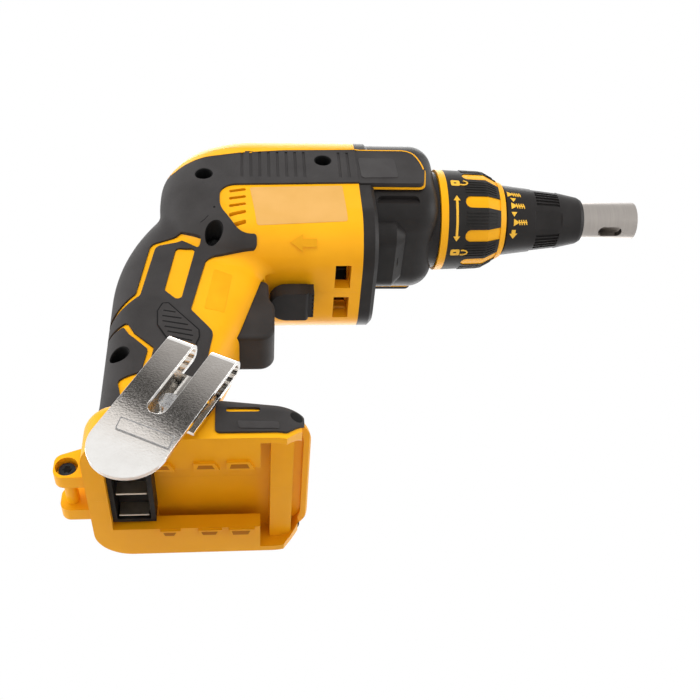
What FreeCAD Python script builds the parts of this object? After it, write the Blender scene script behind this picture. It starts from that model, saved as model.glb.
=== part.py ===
import FreeCAD, Part
import math
import os
from FreeCAD import Vector

# Cordless drywall screwdriver, bare. Millimetres, +X out of the nose along the spindle axis,
# +Y to the tool's left, +Z up. The origin is the centre of the depth locator's mouth.

# Depth locator, the plain metal sleeve at the tip
locator_radius = 9.8
locator_bore_radius = 6.9
locator_mouth_length = 20.0
locator_rear_bore_radius = 6.4
locator_reach = 30.0
locator_tail = 22.0
window_length = 13.0
window_width = 6.0
window_setback = 8.0

# Depth ring, the tapered adjuster
ring_length = 44.0
ring_rear_radius = 18.6
ring_band_length = 15.0
ring_waist_radius = 15.2
ring_nose_length = 15.0
ring_nose_radius = 11.6
ring_pad_count = 4
ring_pad_turn = 6.0
ring_pad_grooves = 5
ring_groove_pitch = 7.5
ring_flat_depth = 0.7
ring_groove_width = 1.6
ring_groove_depth = 0.8

# Nose carrier, the tube that the ring and the locator ride on
carrier_radius = 13.4
carrier_overlap = 24.0

# Lock collar
collar_length = 35.3
collar_rear_radius = 26.5
collar_front_radius = 25.4
collar_rear_ring = 3.8
collar_front_ring = 3.2
collar_chamfer_length = 10.5
collar_chamfer_drop = 5.6
collar_cover_depth = 1.6
collar_finger_count = 9
collar_finger_width = 6.4
collar_finger_length = 22.5
collar_finger_drop = 0.5
collar_seat_radius = 13.9
collar_seat_length = 8.0

# Gear case
plate_thickness = 6.0
case_half_width = 32.0
case_top = 33.2
case_bottom = -28.0
case_edge_radius = 18.0
case_wall = 3.0
case_shoulder_radius = 12.0
case_boss_radius = 25.2
case_boss_length = 1.0
case_front_wall = 6.0
neck_radius = 10.5
neck_bore_radius = 8.5
neck_reach = 44.0
flange_thickness = 7.5
flange_chamfer = 2.0
bump_half_width = 20.0
bump_bottom = -36.0
bump_edge_radius = 9.0
pocket_depth = 4.4

# Clearances
running_gap = 0.4
shaft_clearance = 0.05
slide_clearance = 0.35
seat_clearance = 0.1

# Spindle, clutch and gears
spindle_radius = 6.0
spindle_reach = 42.0
spindle_flange_radius = 13.0
spindle_flange_thickness = 4.7
pilot_radius = 4.0
washer_thickness = 2.5
washer_radius = 12.5
axial_play = 0.3
dog_height = 3.0
dog_gap = 3.0
dog_count = 3
dog_angle = 40.0
dog_inner_radius = 8.4
dog_outer_radius = 12.6
gear_module = 1.0
gear_teeth = 36
pinion_teeth = 10
pinion_overhang = 1.0
gear_width = 8.5
hub_length = 5.0
hub_radius = 8.0
gear_bearing_radius = 13.0
bearing_boss_wall = 2.4
spring_wire_radius = 0.55
spring_coil_radius = 6.2
push_travel = 5.0

# Bit holder
holder_radius = 4.8
holder_setback = 22.0
bit_flat = 6.35
bit_socket_depth = 11.0
holder_shank_length = 18.0
magnet_radius = 2.4
magnet_length = 3.0

# Motor
shaft_radius = 3.0
front_bearing_radius = 9.0
fan_setback = 4.0
fan_length = 14.0
fan_radius = 19.6
fan_blade_count = 11
fan_blade_thickness = 1.4
fan_disc_thickness = 2.0
winding_overhang = 7.0
winding_radius = 23.0
stator_setback = 30.0
stator_length = 28.0
stator_radius = 26.0
rotor_radius = 12.8
air_gap = 0.6
slot_count = 9
slot_width = 5.0
rear_bearing_radius = 8.0
rear_bearing_width = 5.0
rear_bearing_gap = 10.0

# Housing head
head_length = 97.5
head_half_width = 35.0
head_top = 33.5
head_bottom = -57.0
head_edge_radius = 22.0
wall = 2.8
rib_thickness = 3.0

# Housing handle
handle_back = 116.0
handle_front = 55.0
handle_half_width = 19.5
handle_edge_radius = 13.0
handle_height = 100.0
foot_overlap = 4.0
blend_radius = 8.0

# Housing foot
foot_front = 30.5
foot_rear = 118.5
foot_half_width = 38.2
foot_height = 21.0
foot_rear_corner = 15.0
foot_front_corner = 15.0
foot_top_radius = 7.0
foot_front_drop = 5.0
foot_bend = 12.0
foot_bend_radius = 60.0
dock_depth = 11.5
dock_wall = 3.2
dock_rear_band = 8.0
dock_front_wall = 3.0
rail_inner = 20.0
rail_thickness = 6.5
rail_setback = 20.0
lip_height = 10.0
strike_length = 9.0
strike_setback = 4.0
strike_drop = 6.5
lug_half_span = 7.5
lug_thickness = 6.5
lug_reach = 7.0
lug_radius = 5.0
lug_rise = 7.0
lanyard_bar_radius = 2.6

# Rubber overmould
rubber_thickness = 1.0
tongue_length = 35.5
tongue_thickness = 1.0
tongue_rubber = 2.4
tongue_top = 13.5
tongue_bottom = -16.5
tongue_border = 0.8
groove_count = 13
groove_width = 1.3
groove_depth = 0.6
groove_height = 21.0

# Screws
screw_head_radius = 3.3
screw_head_length = 2.6
screw_radius = 1.7
screw_recess_radius = 4.4
screw_boss_radius = 4.9
screw_reach = 10.0

# Trigger, reverse lever and lock button
trigger_half_width = 11.0
trigger_top_gap = 3.0
trigger_height = 38.5
trigger_proud = 12.5
trigger_depth = 18.5
trigger_step = 2.6
trigger_edge_radius = 2.0
trigger_travel = 6.5
stem_radius = 2.4
stem_length = 10.5
lever_half_width = 8.6
lever_height = 7.5
lever_length = 10.2
lever_pivot_radius = 3.5
lever_tip_length = 2.5
lever_keeper_radius = 5.0
lever_keeper_thickness = 1.5
lever_ridge_count = 6
button_radius = 4.6
button_proud = 2.0
button_flange = 1.5
button_flange_thickness = 2.0
button_travel = 3.0

# Switch and electronics
switch_length = 25.0
switch_half_width = 9.0
switch_height = 38.0
module_half_width = 12.0
module_height = 24.0
module_length = 26.0

# Battery contacts
block_length = 17.5
block_half_width = 18.0
block_drop = 9.0
block_wall = 2.0
blade_spacing = 14.5
blade_thickness = 0.8
blade_length = 12.0

# Belt hook
hook_width = 30.0
hook_length = 51.0
hook_thickness = 1.6
hook_slot_width = 8.0
hook_slot_start = 16.0
hook_lean = 28.0
hook_bend_radius = 2.6
hook_leg_length = 32.0
hook_boss_radius = 8.0
hook_boss_height = 3.2
hook_screw_radius = 2.0

# Stations along X, worked back from the mouth
ring_front_x = -locator_reach
ring_rear_x = ring_front_x - ring_length
collar_front_x = ring_rear_x - running_gap
collar_rear_x = collar_front_x - collar_length
case_front_x = collar_rear_x - running_gap
case_shoulder_x = case_front_x - case_boss_length
case_inner_x = case_shoulder_x - case_front_wall
spindle_flange_x = case_inner_x - washer_thickness - axial_play
spindle_dog_x = spindle_flange_x - spindle_flange_thickness
gear_dog_x = spindle_dog_x - dog_height - dog_gap
gear_front_x = gear_dog_x - dog_height
gear_rear_x = gear_front_x - gear_width
plate_front_x = gear_rear_x - hub_length
flange_x = plate_front_x - plate_thickness
flange_front_x = flange_x + flange_thickness
pinion_front_x = gear_front_x + pinion_overhang
bump_front_x = pinion_front_x + running_gap + case_wall
fan_front_x = flange_x - fan_setback
stator_front_x = flange_x - stator_setback
stator_rear_x = stator_front_x - stator_length
rear_bearing_x = stator_rear_x - winding_overhang - rear_bearing_gap
head_rear_x = flange_x - head_length
handle_back_x = flange_x - handle_back
handle_front_x = flange_x - handle_front
foot_front_x = flange_x - foot_front
foot_rear_x = flange_x - foot_rear

# Heights
motor_z = -gear_module * (gear_teeth + pinion_teeth) / 2
foot_top = head_bottom - handle_height
rim_z = foot_top - foot_height
dock_ceiling = rim_z + dock_depth
trigger_top = head_bottom - trigger_top_gap
trigger_bottom = trigger_top - trigger_height
switch_top = trigger_top - 8.0
floor_z = foot_top + 5.0
carrier_bore_radius = neck_radius + shaft_clearance
guide_bore_radius = locator_radius + shaft_clearance


def rounded_wire(corners, lift):
    """Closed wire through corners (a, b, radius), with an arc at each corner that has a radius."""
    spans = []
    count = len(corners)
    for i in range(count):
        before = corners[i - 1]
        here = corners[i]
        after = corners[(i + 1) % count]
        corner = Vector(here[0], here[1], 0)
        if here[2] == 0:
            spans.append((corner, corner, corner))
            continue
        to_before = (Vector(before[0], before[1], 0) - corner).normalize()
        to_after = (Vector(after[0], after[1], 0) - corner).normalize()
        half_angle = to_before.getAngle(to_after) / 2
        inward = (to_before + to_after).normalize()
        tangent = here[2] / math.tan(half_angle)
        middle = corner + inward * (here[2] / math.sin(half_angle) - here[2])
        spans.append((corner + to_before * tangent, middle, corner + to_after * tangent))
    edges = []
    for i in range(count):
        start, middle, end = spans[i]
        following = spans[(i + 1) % count][0]
        if (end - start).Length > 1e-6:
            edges.append(Part.Arc(lift(start), lift(middle), lift(end)).toShape())
        if (following - end).Length > 1e-6:
            edges.append(Part.LineSegment(lift(end), lift(following)).toShape())
    return Part.Wire(edges)


def side_wire(corners):
    """Outline in the XZ plane."""
    return rounded_wire(corners, lambda p: Vector(p.x, 0, p.y))


def side_prism(corners, y_from, y_to):
    """XZ outline pushed along Y."""
    face = Part.Face(side_wire(corners))
    face.translate(Vector(0, y_from, 0))
    return face.extrude(Vector(0, y_to - y_from, 0))


def end_prism(corners, x_from, x_to):
    """YZ outline pushed along X."""
    face = Part.Face(rounded_wire(corners, lambda p: Vector(x_from, p.x, p.y)))
    return face.extrude(Vector(x_to - x_from, 0, 0))


def plan_prism(corners, z_from, z_to):
    """XY outline pushed along Z."""
    face = Part.Face(rounded_wire(corners, lambda p: Vector(p.x, p.y, z_from)))
    return face.extrude(Vector(0, 0, z_to - z_from))


def block(x_from, x_to, y_from, y_to, z_from, z_to):
    size = (x_to - x_from, y_to - y_from, z_to - z_from)
    return Part.makeBox(*size, Vector(x_from, y_from, z_from))


def rod(x_from, x_to, radius, z=0.0):
    """Cylinder along X, x_from behind x_to."""
    return Part.makeCylinder(radius, x_to - x_from, Vector(x_from, 0, z), Vector(1, 0, 0))


def tube(x_from, x_to, bore, radius, z=0.0):
    return rod(x_from, x_to, radius, z).cut(rod(x_from, x_to, bore, z))


def cross_rod(x, z, y_from, y_to, radius):
    """Cylinder along Y."""
    return Part.makeCylinder(radius, y_to - y_from, Vector(x, y_from, z), Vector(0, 1, 0))


def turned(profile):
    """Solid of revolution about the spindle axis from (x, radius) points."""
    points = [Vector(x, 0, r) for x, r in profile]
    face = Part.Face(Part.makePolygon(points + points[:1]))
    return face.revolve(Vector(0, 0, 0), Vector(1, 0, 0), 360)


def around(shape, count, z=0.0):
    """Copies of a shape spread evenly round an axis parallel to X."""
    copies = []
    for i in range(count):
        copy = shape.copy()
        copy.rotate(Vector(0, 0, z), Vector(1, 0, 0), 360.0 * i / count)
        copies.append(copy)
    return copies


def mirrored(shape):
    """The same shape on the tool's other side."""
    return shape.mirror(Vector(0, 0, 0), Vector(0, 1, 0))


def edges_where(shape, test):
    return [edge for edge in shape.Edges if test(edge.BoundBox)]


def box_section(half_width, bottom, top, radius):
    """Rounded rectangle in the YZ plane."""
    corners = [(-half_width, bottom), (half_width, bottom), (half_width, top), (-half_width, top)]
    return [(y, z, radius) for y, z in corners]


def back(distance):
    """X of a station behind the flange, where the housing starts."""
    return flange_x - distance


def slab(corners, half_width, edge_radius, grow):
    """XZ outline pushed to both sides, with every side edge rounded; grow moves all faces out."""
    wire = side_wire(corners)
    if grow:
        wire = wire.makeOffset2D(grow, join=2)
    reach = half_width + grow
    solid = Part.Face(wire).extrude(Vector(0, 2 * reach, 0))
    solid.translate(Vector(0, -reach, 0))
    side_edges = edges_where(solid, lambda b: b.YLength < 1e-3)
    front = flange_x - 1.0
    side_edges = [e for e in side_edges if not (e.BoundBox.XLength < 1e-3 and e.BoundBox.XMax > front - 4)]
    return solid.makeFillet(edge_radius + grow, side_edges)


def head_corners():
    rear = head_rear_x
    return [
        (flange_x, head_top, 0),
        (back(64), head_top, 55),
        (rear, head_top - 17, 36),
        (rear, head_bottom + 34, 46),
        (back(76), head_bottom, 46),
        (flange_x, head_bottom, 0),
    ]


def handle_corners():
    """Outline of the handle; it runs on below the foot, where it is trimmed."""
    rear = handle_back_x
    front = handle_front_x
    return [
        (back(91), head_bottom + 50, 0),
        (rear, head_bottom + 13, 100),
        (rear, foot_top + 18, 40),
        (rear - 10.5, foot_top - 40, 0),
        (front - 19, foot_top - 40, 0),
        (front - 19, foot_top + 18, 20),
        (front - 2.5, head_bottom - 38, 25),
        (front + 12, head_bottom + 12, 0),
    ]


def head_solid(grow):
    return slab(head_corners(), head_half_width, head_edge_radius, grow)


def handle_solid(grow):
    solid = slab(handle_corners(), handle_half_width, handle_edge_radius, grow)
    box = solid.BoundBox
    below = block(box.XMin, box.XMax, box.YMin, box.YMax, box.ZMin, foot_top - foot_overlap)
    return solid.cut(below)


def stepped_hollow(corners, half_width, edge_radius):
    """Hollow with plain steps that keep about the wall's thickness inside the rounded sides."""
    inner_radius = edge_radius - wall
    flat = half_width - edge_radius
    steps = []
    for degrees in (35, 65):
        angle = math.radians(degrees)
        reach = flat + inner_radius * math.sin(angle)
        inset = edge_radius - inner_radius * math.cos(angle)
        face = Part.Face(side_wire(corners).makeOffset2D(-inset, join=2))
        face.translate(Vector(0, -reach, 0))
        steps.append(face.extrude(Vector(0, 2 * reach, 0)))
    return steps[0].fuse(steps[1])


def pistol_solid(grow):
    """Head and handle with a soft blend where they meet."""
    head = head_solid(grow)
    handle = handle_solid(grow)
    both = head.fuse(handle)
    seam = []
    for edge in both.Edges:
        middle = Part.Vertex(edge.valueAt((edge.FirstParameter + edge.LastParameter) / 2))
        on_head = head.Shells[0].distToShape(middle)[0] < 1e-3
        on_handle = handle.Shells[0].distToShape(middle)[0] < 1e-3
        if on_head and on_handle:
            seam.append(edge)
    return both.makeFillet(blend_radius, seam)


def foot_solid(grow):
    width = foot_half_width + grow
    front = foot_front_x + grow
    rear = foot_rear_x - grow
    corners = [
        (front, -width, foot_front_corner + grow),
        (front, width, foot_front_corner + grow),
        (rear, width, foot_rear_corner + grow),
        (rear, -width, foot_rear_corner + grow),
    ]
    top = foot_top + grow
    low = top - foot_front_drop
    bend_x = handle_front_x - foot_bend
    side = [
        (rear - 1, rim_z, 0),
        (front + 1, rim_z, 0),
        (front + 1, low, 0),
        (bend_x, top, foot_bend_radius),
        (rear - 1, top, 0),
    ]
    solid = plan_prism(corners, rim_z, top + 1).common(side_prism(side, -width - 1, width + 1))
    inner_x = (rear + foot_rear_corner, front - foot_front_corner)

    def on_rim(b):
        return b.ZMin > low - 1 and not (b.XLength < 1e-3 and inner_x[0] < b.XMin < inner_x[1])

    top_edges = edges_where(solid, on_rim)
    return solid.makeFillet(foot_top_radius, top_edges)


def body_solid(grow):
    return pistol_solid(grow).fuse(foot_solid(grow))


def right_of_middle(shape):
    box = shape.BoundBox
    return shape.common(block(box.XMin - 1, box.XMax + 1, box.YMin - 1, 0, box.ZMin - 1, box.ZMax + 1))


# Screw places (x, z) and the depth of each head below the middle plane
head_screws = [
    (back(75.9), head_bottom + 47.1),
    (back(70.5), head_bottom + 11.1),
    (back(16.9), head_top - 31.5),
]
handle_screw = (handle_back_x + 6.6, foot_top + 41.4)
lug_x = foot_rear_x - lug_reach
lug_z = rim_z + lug_rise
head_seat_y = -20.0
handle_seat_y = -9.0
lug_seat_y = -lug_half_span - 2.0
screw_places = [(x, z, head_seat_y) for x, z in head_screws]
screw_places.append((*handle_screw, handle_seat_y))
screw_places.append((lug_x, lug_z, lug_seat_y))

# Screws through the gear case flange (y, z), alike on both sides
flange_screws = [(head_half_width - 5.5, motor_z - 6.0), (head_half_width - 15.0, motor_z - 23.0)]
flange_screw_reach = 16.0
flange_boss_radius = 4.0


def dock_solid():
    """Space that the battery slides into, open below and in front."""
    half = foot_half_width - dock_wall
    rear = foot_rear_x + dock_rear_band
    front = foot_front_x - dock_front_wall
    rail_front = foot_front_x - rail_setback
    rail_top = rim_z + rail_thickness
    deep = rim_z - 1
    corner = foot_front_corner - dock_front_wall
    plan = [(front, -half, corner), (front, half, corner), (rear, half, 0), (rear, -half, 0)]
    inside = plan_prism(plan, deep, dock_ceiling)
    channel = block(rear, front, -rail_inner, rail_inner, deep, dock_ceiling)
    grooves = block(rear + block_length, front, -half, half, rail_top, dock_ceiling).common(inside)
    entry = block(rail_front, front, -half, half, deep, dock_ceiling).common(inside)
    lip = block(front - 1, foot_front_x + 2, -half, half, deep, rim_z + lip_height)
    bevel = lip_height + 1
    slope = [
        (foot_front_x + 2, deep, 0),
        (foot_front_x + 2, rim_z + bevel + 2, 0),
        (foot_front_x - bevel, deep, 0),
    ]
    chamfer = side_prism(slope, -foot_half_width - 1, foot_half_width + 1)
    strike_front = front - strike_setback
    strike_rear = strike_front - strike_length
    strike = block(strike_rear, strike_front, -half, half, dock_ceiling - strike_drop, dock_ceiling)
    return channel.fuse([grooves, entry]).cut(strike).fuse([lip, chamfer])


def cavity_solid():
    """Hollow inside of the head and handle, with the ribs that hold the motor, switch and module."""
    hollow = stepped_hollow(head_corners(), head_half_width, head_edge_radius)
    hollow = hollow.fuse(stepped_hollow(handle_corners(), handle_half_width, handle_edge_radius))
    far = 300.0
    bearing_rear = rear_bearing_x - rear_bearing_width
    ribs = [
        block(stator_rear_x, stator_rear_x + rib_thickness, -far, far, -far, far),
        block(stator_front_x - rib_thickness, stator_front_x, -far, far, -far, far),
        block(bearing_rear - rib_thickness, rear_bearing_x, -far, far, head_bottom, far),
        block(-far, far, -far, far, -far, floor_z),
    ]
    switch_rear = switch_front_x() - switch_length
    edge_y = switch_half_width
    for z in (switch_top - 6, switch_top - switch_height + 6):
        for y_from, y_to in ((-far, -edge_y), (edge_y, far)):
            ribs.append(block(switch_rear, switch_front_x(), y_from, y_to, z - rib_thickness, z))
    edge_y = module_half_width
    for y_from, y_to in ((-far, -edge_y), (edge_y, far)):
        ribs.append(block(-far, far, y_from, y_to, floor_z, floor_z + rib_thickness))
    hollow = hollow.cut(ribs)
    stator_seat = rod(stator_rear_x, stator_front_x, stator_radius, motor_z)
    windings = rod(stator_rear_x - winding_overhang - 1, stator_front_x + winding_overhang + 1,
                   winding_radius + 1, motor_z)
    fan_room = rod(fan_front_x - fan_length - 2, flange_x + 1, fan_radius + 2, motor_z)
    bearing_seat = rod(rear_bearing_x - rear_bearing_width, rear_bearing_x, rear_bearing_radius, motor_z)
    shaft_room = rod(rear_bearing_x - rear_bearing_width, fan_front_x, shaft_radius + 2, motor_z)
    return hollow.fuse([stator_seat, windings, fan_room, bearing_seat, shaft_room])


def trigger_rear_x():
    return handle_front_x + trigger_proud - trigger_depth


def switch_front_x():
    return trigger_rear_x() - trigger_travel - axial_play


def lever_pivot_x():
    return handle_front_x + trigger_proud - trigger_step + running_gap + lever_half_width


def intake_slots():
    """Five slanted air slots in the side window behind the label panel."""
    slots = []
    pitch = 5.6
    for i in range(5):
        z = motor_z + 0.5 - i * pitch
        corners = [
            (back(63.5), z - 1.2, 0.7), (back(55.5), z + 0.6, 0.7),
            (back(55.5), z + 2.6, 0.7), (back(63.5), z + 0.8, 0.7),
        ]
        slots.append(side_prism(corners, -head_half_width - 2, -head_half_width + head_edge_radius / 2))
    return slots


def exhaust_slot():
    """Air outlet low on the head beside the middle plane."""
    return block(back(13), back(5.5), -17, -3, head_bottom - 1, head_bottom + 12)


def tongue_corners(inset):
    front = flange_x + tongue_length - inset
    rear = back(5)
    top = tongue_top - inset
    bottom = tongue_bottom + inset
    return [
        (rear, bottom, 0),
        (front - 2, bottom, 4 - inset),
        (front, bottom + 14, 10),
        (front - 4, top, 10 - inset),
        (rear, top, 0),
    ]


def tongue_solid():
    """Arm of the right half that reaches forward over the gear case."""
    inner_y = -case_half_width - seat_clearance
    return side_prism(tongue_corners(0), -case_half_width - tongue_thickness, inner_y)


def grip_corners():
    """Outline of the rubber on the right side, from the upper front corner round to the rear."""
    return [
        (flange_x, tongue_top - tongue_border, 0),
        (flange_x, tongue_bottom + tongue_border, 0),
        (back(68), head_bottom + 39, 8),
        (back(68), head_bottom + 22.5, 14),
        (back(58), head_bottom + 7.5, 10),
        (back(50.5), head_bottom + 7.5, 1.5),
        (back(50.5), head_bottom + 3, 2),
        (back(74), head_bottom + 3, 5),
        (back(80.3), head_bottom - 32.5, 3),
        (back(70), head_bottom - 46.5, 4),
        (back(74), foot_top + 29, 20),
        (back(80), foot_top + 5, 4),
        (back(80), foot_top + 1, 0),
        (foot_rear_x - 30, foot_top + 1, 0),
        (foot_rear_x - 30, head_bottom + 34, 0),
        (back(66), head_top - 21, 30),
    ]


def inlay_corners():
    """Windows in the rubber where the hard housing shows."""
    upper_stripe = [
        (back(76.5), head_bottom + 11.5, 1), (back(86.5), head_bottom + 18.5, 1),
        (back(100.5), head_bottom + 12, 5), (back(105), head_bottom - 22, 3),
        (back(121), head_bottom - 37.3, 0), (back(121), head_bottom - 40, 0),
        (back(103), head_bottom - 23.5, 3), (back(98), head_bottom + 10.5, 4),
        (back(86), head_bottom + 14, 1), (back(78), head_bottom + 8, 1),
    ]
    lozenge = [
        (back(88.5), head_bottom + 9.5, 2), (back(79.5), head_bottom + 8.5, 2),
        (back(85), head_bottom - 28, 2), (back(92.5), head_bottom - 20, 2),
    ]
    lower_stripe = [
        (back(121), head_bottom - 43.5, 0), (back(114.7), head_bottom - 42.5, 1),
        (back(107.5), head_bottom - 40, 2), (back(104), head_bottom - 47, 1),
        (back(95), head_bottom - 56, 2), (back(97), head_bottom - 72, 1),
        (back(106), head_bottom - 87, 2), (back(109), head_bottom - 74, 2),
        (back(99.5), head_bottom - 70, 1), (back(97.5), head_bottom - 57, 2),
        (back(106), head_bottom - 48, 1), (back(109), head_bottom - 42.5, 1),
        (back(121), head_bottom - 46, 0),
    ]
    return [upper_stripe, lozenge, lower_stripe]


def grip_right_solid(outer, inner):
    """Rubber skin on the right side between the two offset bodies, with the side tongue's inlay."""
    reach = foot_half_width + 10
    region = side_prism(grip_corners(), -reach, 0)
    windows = [side_prism(corners, -reach, 0) for corners in inlay_corners()]
    skin = outer.cut(inner).common(region).cut(windows)
    face = -case_half_width - tongue_thickness
    inlay = side_prism(tongue_corners(tongue_border), face - tongue_rubber, face)
    inlay = inlay.cut(block(back(40), flange_x, -reach, reach, -99, 99))
    grooves = []
    first = back(5)
    last = back(58)
    step = (first - last) / (groove_count - 1)
    middle_z = (tongue_top + tongue_bottom) / 2
    outer_y = -head_half_width - rubber_thickness
    for i in range(groove_count):
        x = last + i * step
        grooves.append(block(x, x + groove_width, outer_y - 1, outer_y + groove_depth,
                             middle_z - groove_height / 2, middle_z + groove_height / 2))
    grooves = [g for g in grooves if min(abs(g.BoundBox.Center.x - x) for x, z in head_screws) > 7]
    return largest(skin.fuse(inlay).cut(grooves))


def largest(shape):
    return max(shape.Solids, key=lambda solid: solid.Volume)


def screw_recesses():
    """Counterbores on the right side, with a hole for each screw's shank."""
    tools = []
    for x, z, seat in screw_places:
        tools.append(cross_rod(x, z, -foot_half_width - 12, seat, screw_recess_radius))
        tools.append(cross_rod(x, z, seat - 1, 1, screw_radius))
    return tools


def screw_pilots():
    """Blind holes in the left half that the screws bite into."""
    return [cross_rod(x, z, -1, screw_reach, screw_radius) for x, z, seat in screw_places]


def screw_bosses():
    bosses = []
    for x, z, seat in screw_places[:4]:
        edge = head_half_width if seat == head_seat_y else handle_half_width
        bosses.append(cross_rod(x, z, -edge, 0, screw_boss_radius))
    return bosses


def hook_boss():
    x, z = hook_anchor()
    edge = foot_half_width
    return cross_rod(x, z, -edge - hook_boss_height, -edge + dock_wall, hook_boss_radius)


def hook_anchor():
    """Place of the hook's screw on the foot's side."""
    return foot_front_x - 54.0, foot_top - 8.0


def lug_and_bar():
    """Right lanyard lug with its half of the bar."""
    corners = [
        (foot_rear_x + 4, rim_z + 1.5, 0),
        (lug_x - lug_radius, rim_z + 1.5, lug_radius - 1),
        (lug_x - lug_radius, lug_z + lug_radius, lug_radius - 1),
        (foot_rear_x + 4, lug_z + 2.2 * lug_radius, 0),
    ]
    lug = side_prism(corners, -lug_half_span - lug_thickness, -lug_half_span)
    bar = cross_rod(lug_x, lug_z, -lug_half_span - 1, 0, lanyard_bar_radius)
    return [lug, bar]


def half_shell(body):
    """Everything that the two housing halves have in common, as the right one."""
    solid = right_of_middle(body).fuse(lug_and_bar() + [hook_boss()])
    solid = solid.cut(right_of_middle(cavity_solid()))
    bosses = screw_bosses() + flange_bosses()
    solid = solid.fuse([right_of_middle(boss.common(body)) for boss in bosses])
    tools = [dock_solid(), trigger_opening(), exhaust_slot(), lever_bore(), lever_room()]
    x, z = hook_anchor()
    inner_end = -foot_half_width + dock_wall + 4
    tools.append(cross_rod(x, z, -foot_half_width - 9, inner_end, hook_screw_radius))
    return solid.cut(tools).fuse(tongue_solid()).cut(intake_slots() + flange_screw_holes())


def housing_and_grips():
    """Both halves of the housing, both rubber grips and both foot bumpers."""
    body = body_solid(0)
    grip = grip_right_solid(body_solid(rubber_thickness), body)
    bumper = foot_bumper_solid()
    half = half_shell(body)
    recesses = screw_recesses()
    return {
        "housing_right": largest(half.cut(recesses)),
        "housing_left": largest(mirrored(half).cut(screw_pilots() + [button_bore()])),
        "grip_right": largest(grip.cut(recesses)),
        "grip_left": mirrored(grip),
        "foot_bumper_right": bumper,
        "foot_bumper_left": mirrored(bumper),
    }


def foot_bumper_solid():
    """Rubber panel on the foot's right side, with a slim window near its top."""
    outside = -foot_half_width - 5
    region = side_prism(bumper_corners(), outside, -foot_half_width + 12)
    strip = side_prism(bumper_strip(), outside, -foot_half_width + 12)
    skin = foot_solid(rubber_thickness).cut(foot_solid(0))
    return largest(skin.common(region).cut(strip))


def bumper_corners():
    return [
        (foot_front_x - 37, foot_top - 1.5, 2),
        (foot_front_x - 3, foot_top - foot_front_drop - 1.5, 2),
        (foot_front_x - 3, rim_z + 9.5, 2),
        (foot_front_x - 10, rim_z + 2.5, 3),
        (foot_front_x - 37, rim_z + 2.5, 2),
    ]


def bumper_strip():
    top = foot_top - 6.5
    return [
        (foot_front_x - 33, top - 2.2, 1), (foot_front_x - 20, top - 2.2, 1),
        (foot_front_x - 20, top, 1), (foot_front_x - 33, top, 1),
    ]


def flange_bosses():
    bosses = []
    for y, z in flange_screws:
        start = Vector(back(flange_screw_reach), -y, z)
        bosses.append(Part.makeCylinder(flange_boss_radius, flange_screw_reach, start, Vector(1, 0, 0)))
    return bosses


def flange_screw_holes():
    holes = []
    for y, z in flange_screws:
        for side in (-1, 1):
            start = Vector(back(flange_screw_reach - 2), side * y, z)
            holes.append(Part.makeCylinder(screw_radius, flange_screw_reach + 20, start, Vector(1, 0, 0)))
    return holes


def trigger_opening():
    half = trigger_half_width + slide_clearance
    front = handle_front_x + trigger_proud + 2
    bottom = trigger_bottom - slide_clearance
    return block(switch_front_x(), front, -half, half, bottom, trigger_top + slide_clearance)


def lever_bore():
    """Hole in the head's underside for the lever's pivot, with room above for its keeper."""
    x = lever_pivot_x()
    radius = lever_pivot_radius + shaft_clearance
    bore = Part.makeCylinder(radius, wall + 4, Vector(x, 0, head_bottom - 2), Vector(0, 0, 1))
    room_height = lever_keeper_thickness + 2 * axial_play + 0.4
    start = Vector(x, 0, head_bottom + wall)
    room = Part.makeCylinder(lever_keeper_radius + slide_clearance, room_height, start, Vector(0, 0, 1))
    return bore.fuse(room)


def lever_room():
    """Space under the head that keeps the blend clear of the lever."""
    x = lever_pivot_x()
    return block(x - lever_half_width - 2, x + lever_length + 4, -lever_half_width - 4, lever_half_width + 4,
                 head_bottom - 20, head_bottom)


def button_place():
    return handle_front_x - 16.0, trigger_top - 30.0


def button_bore():
    """Hole in the left side for the lock button, with room inside for its flange."""
    x, z = button_place()
    inner_wall = handle_half_width - wall
    bore = cross_rod(x, z, inner_wall - 1, handle_half_width + 2, button_radius + slide_clearance)
    room = cross_rod(x, z, switch_half_width, inner_wall, button_radius + button_flange + slide_clearance)
    return bore.fuse(room)


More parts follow.
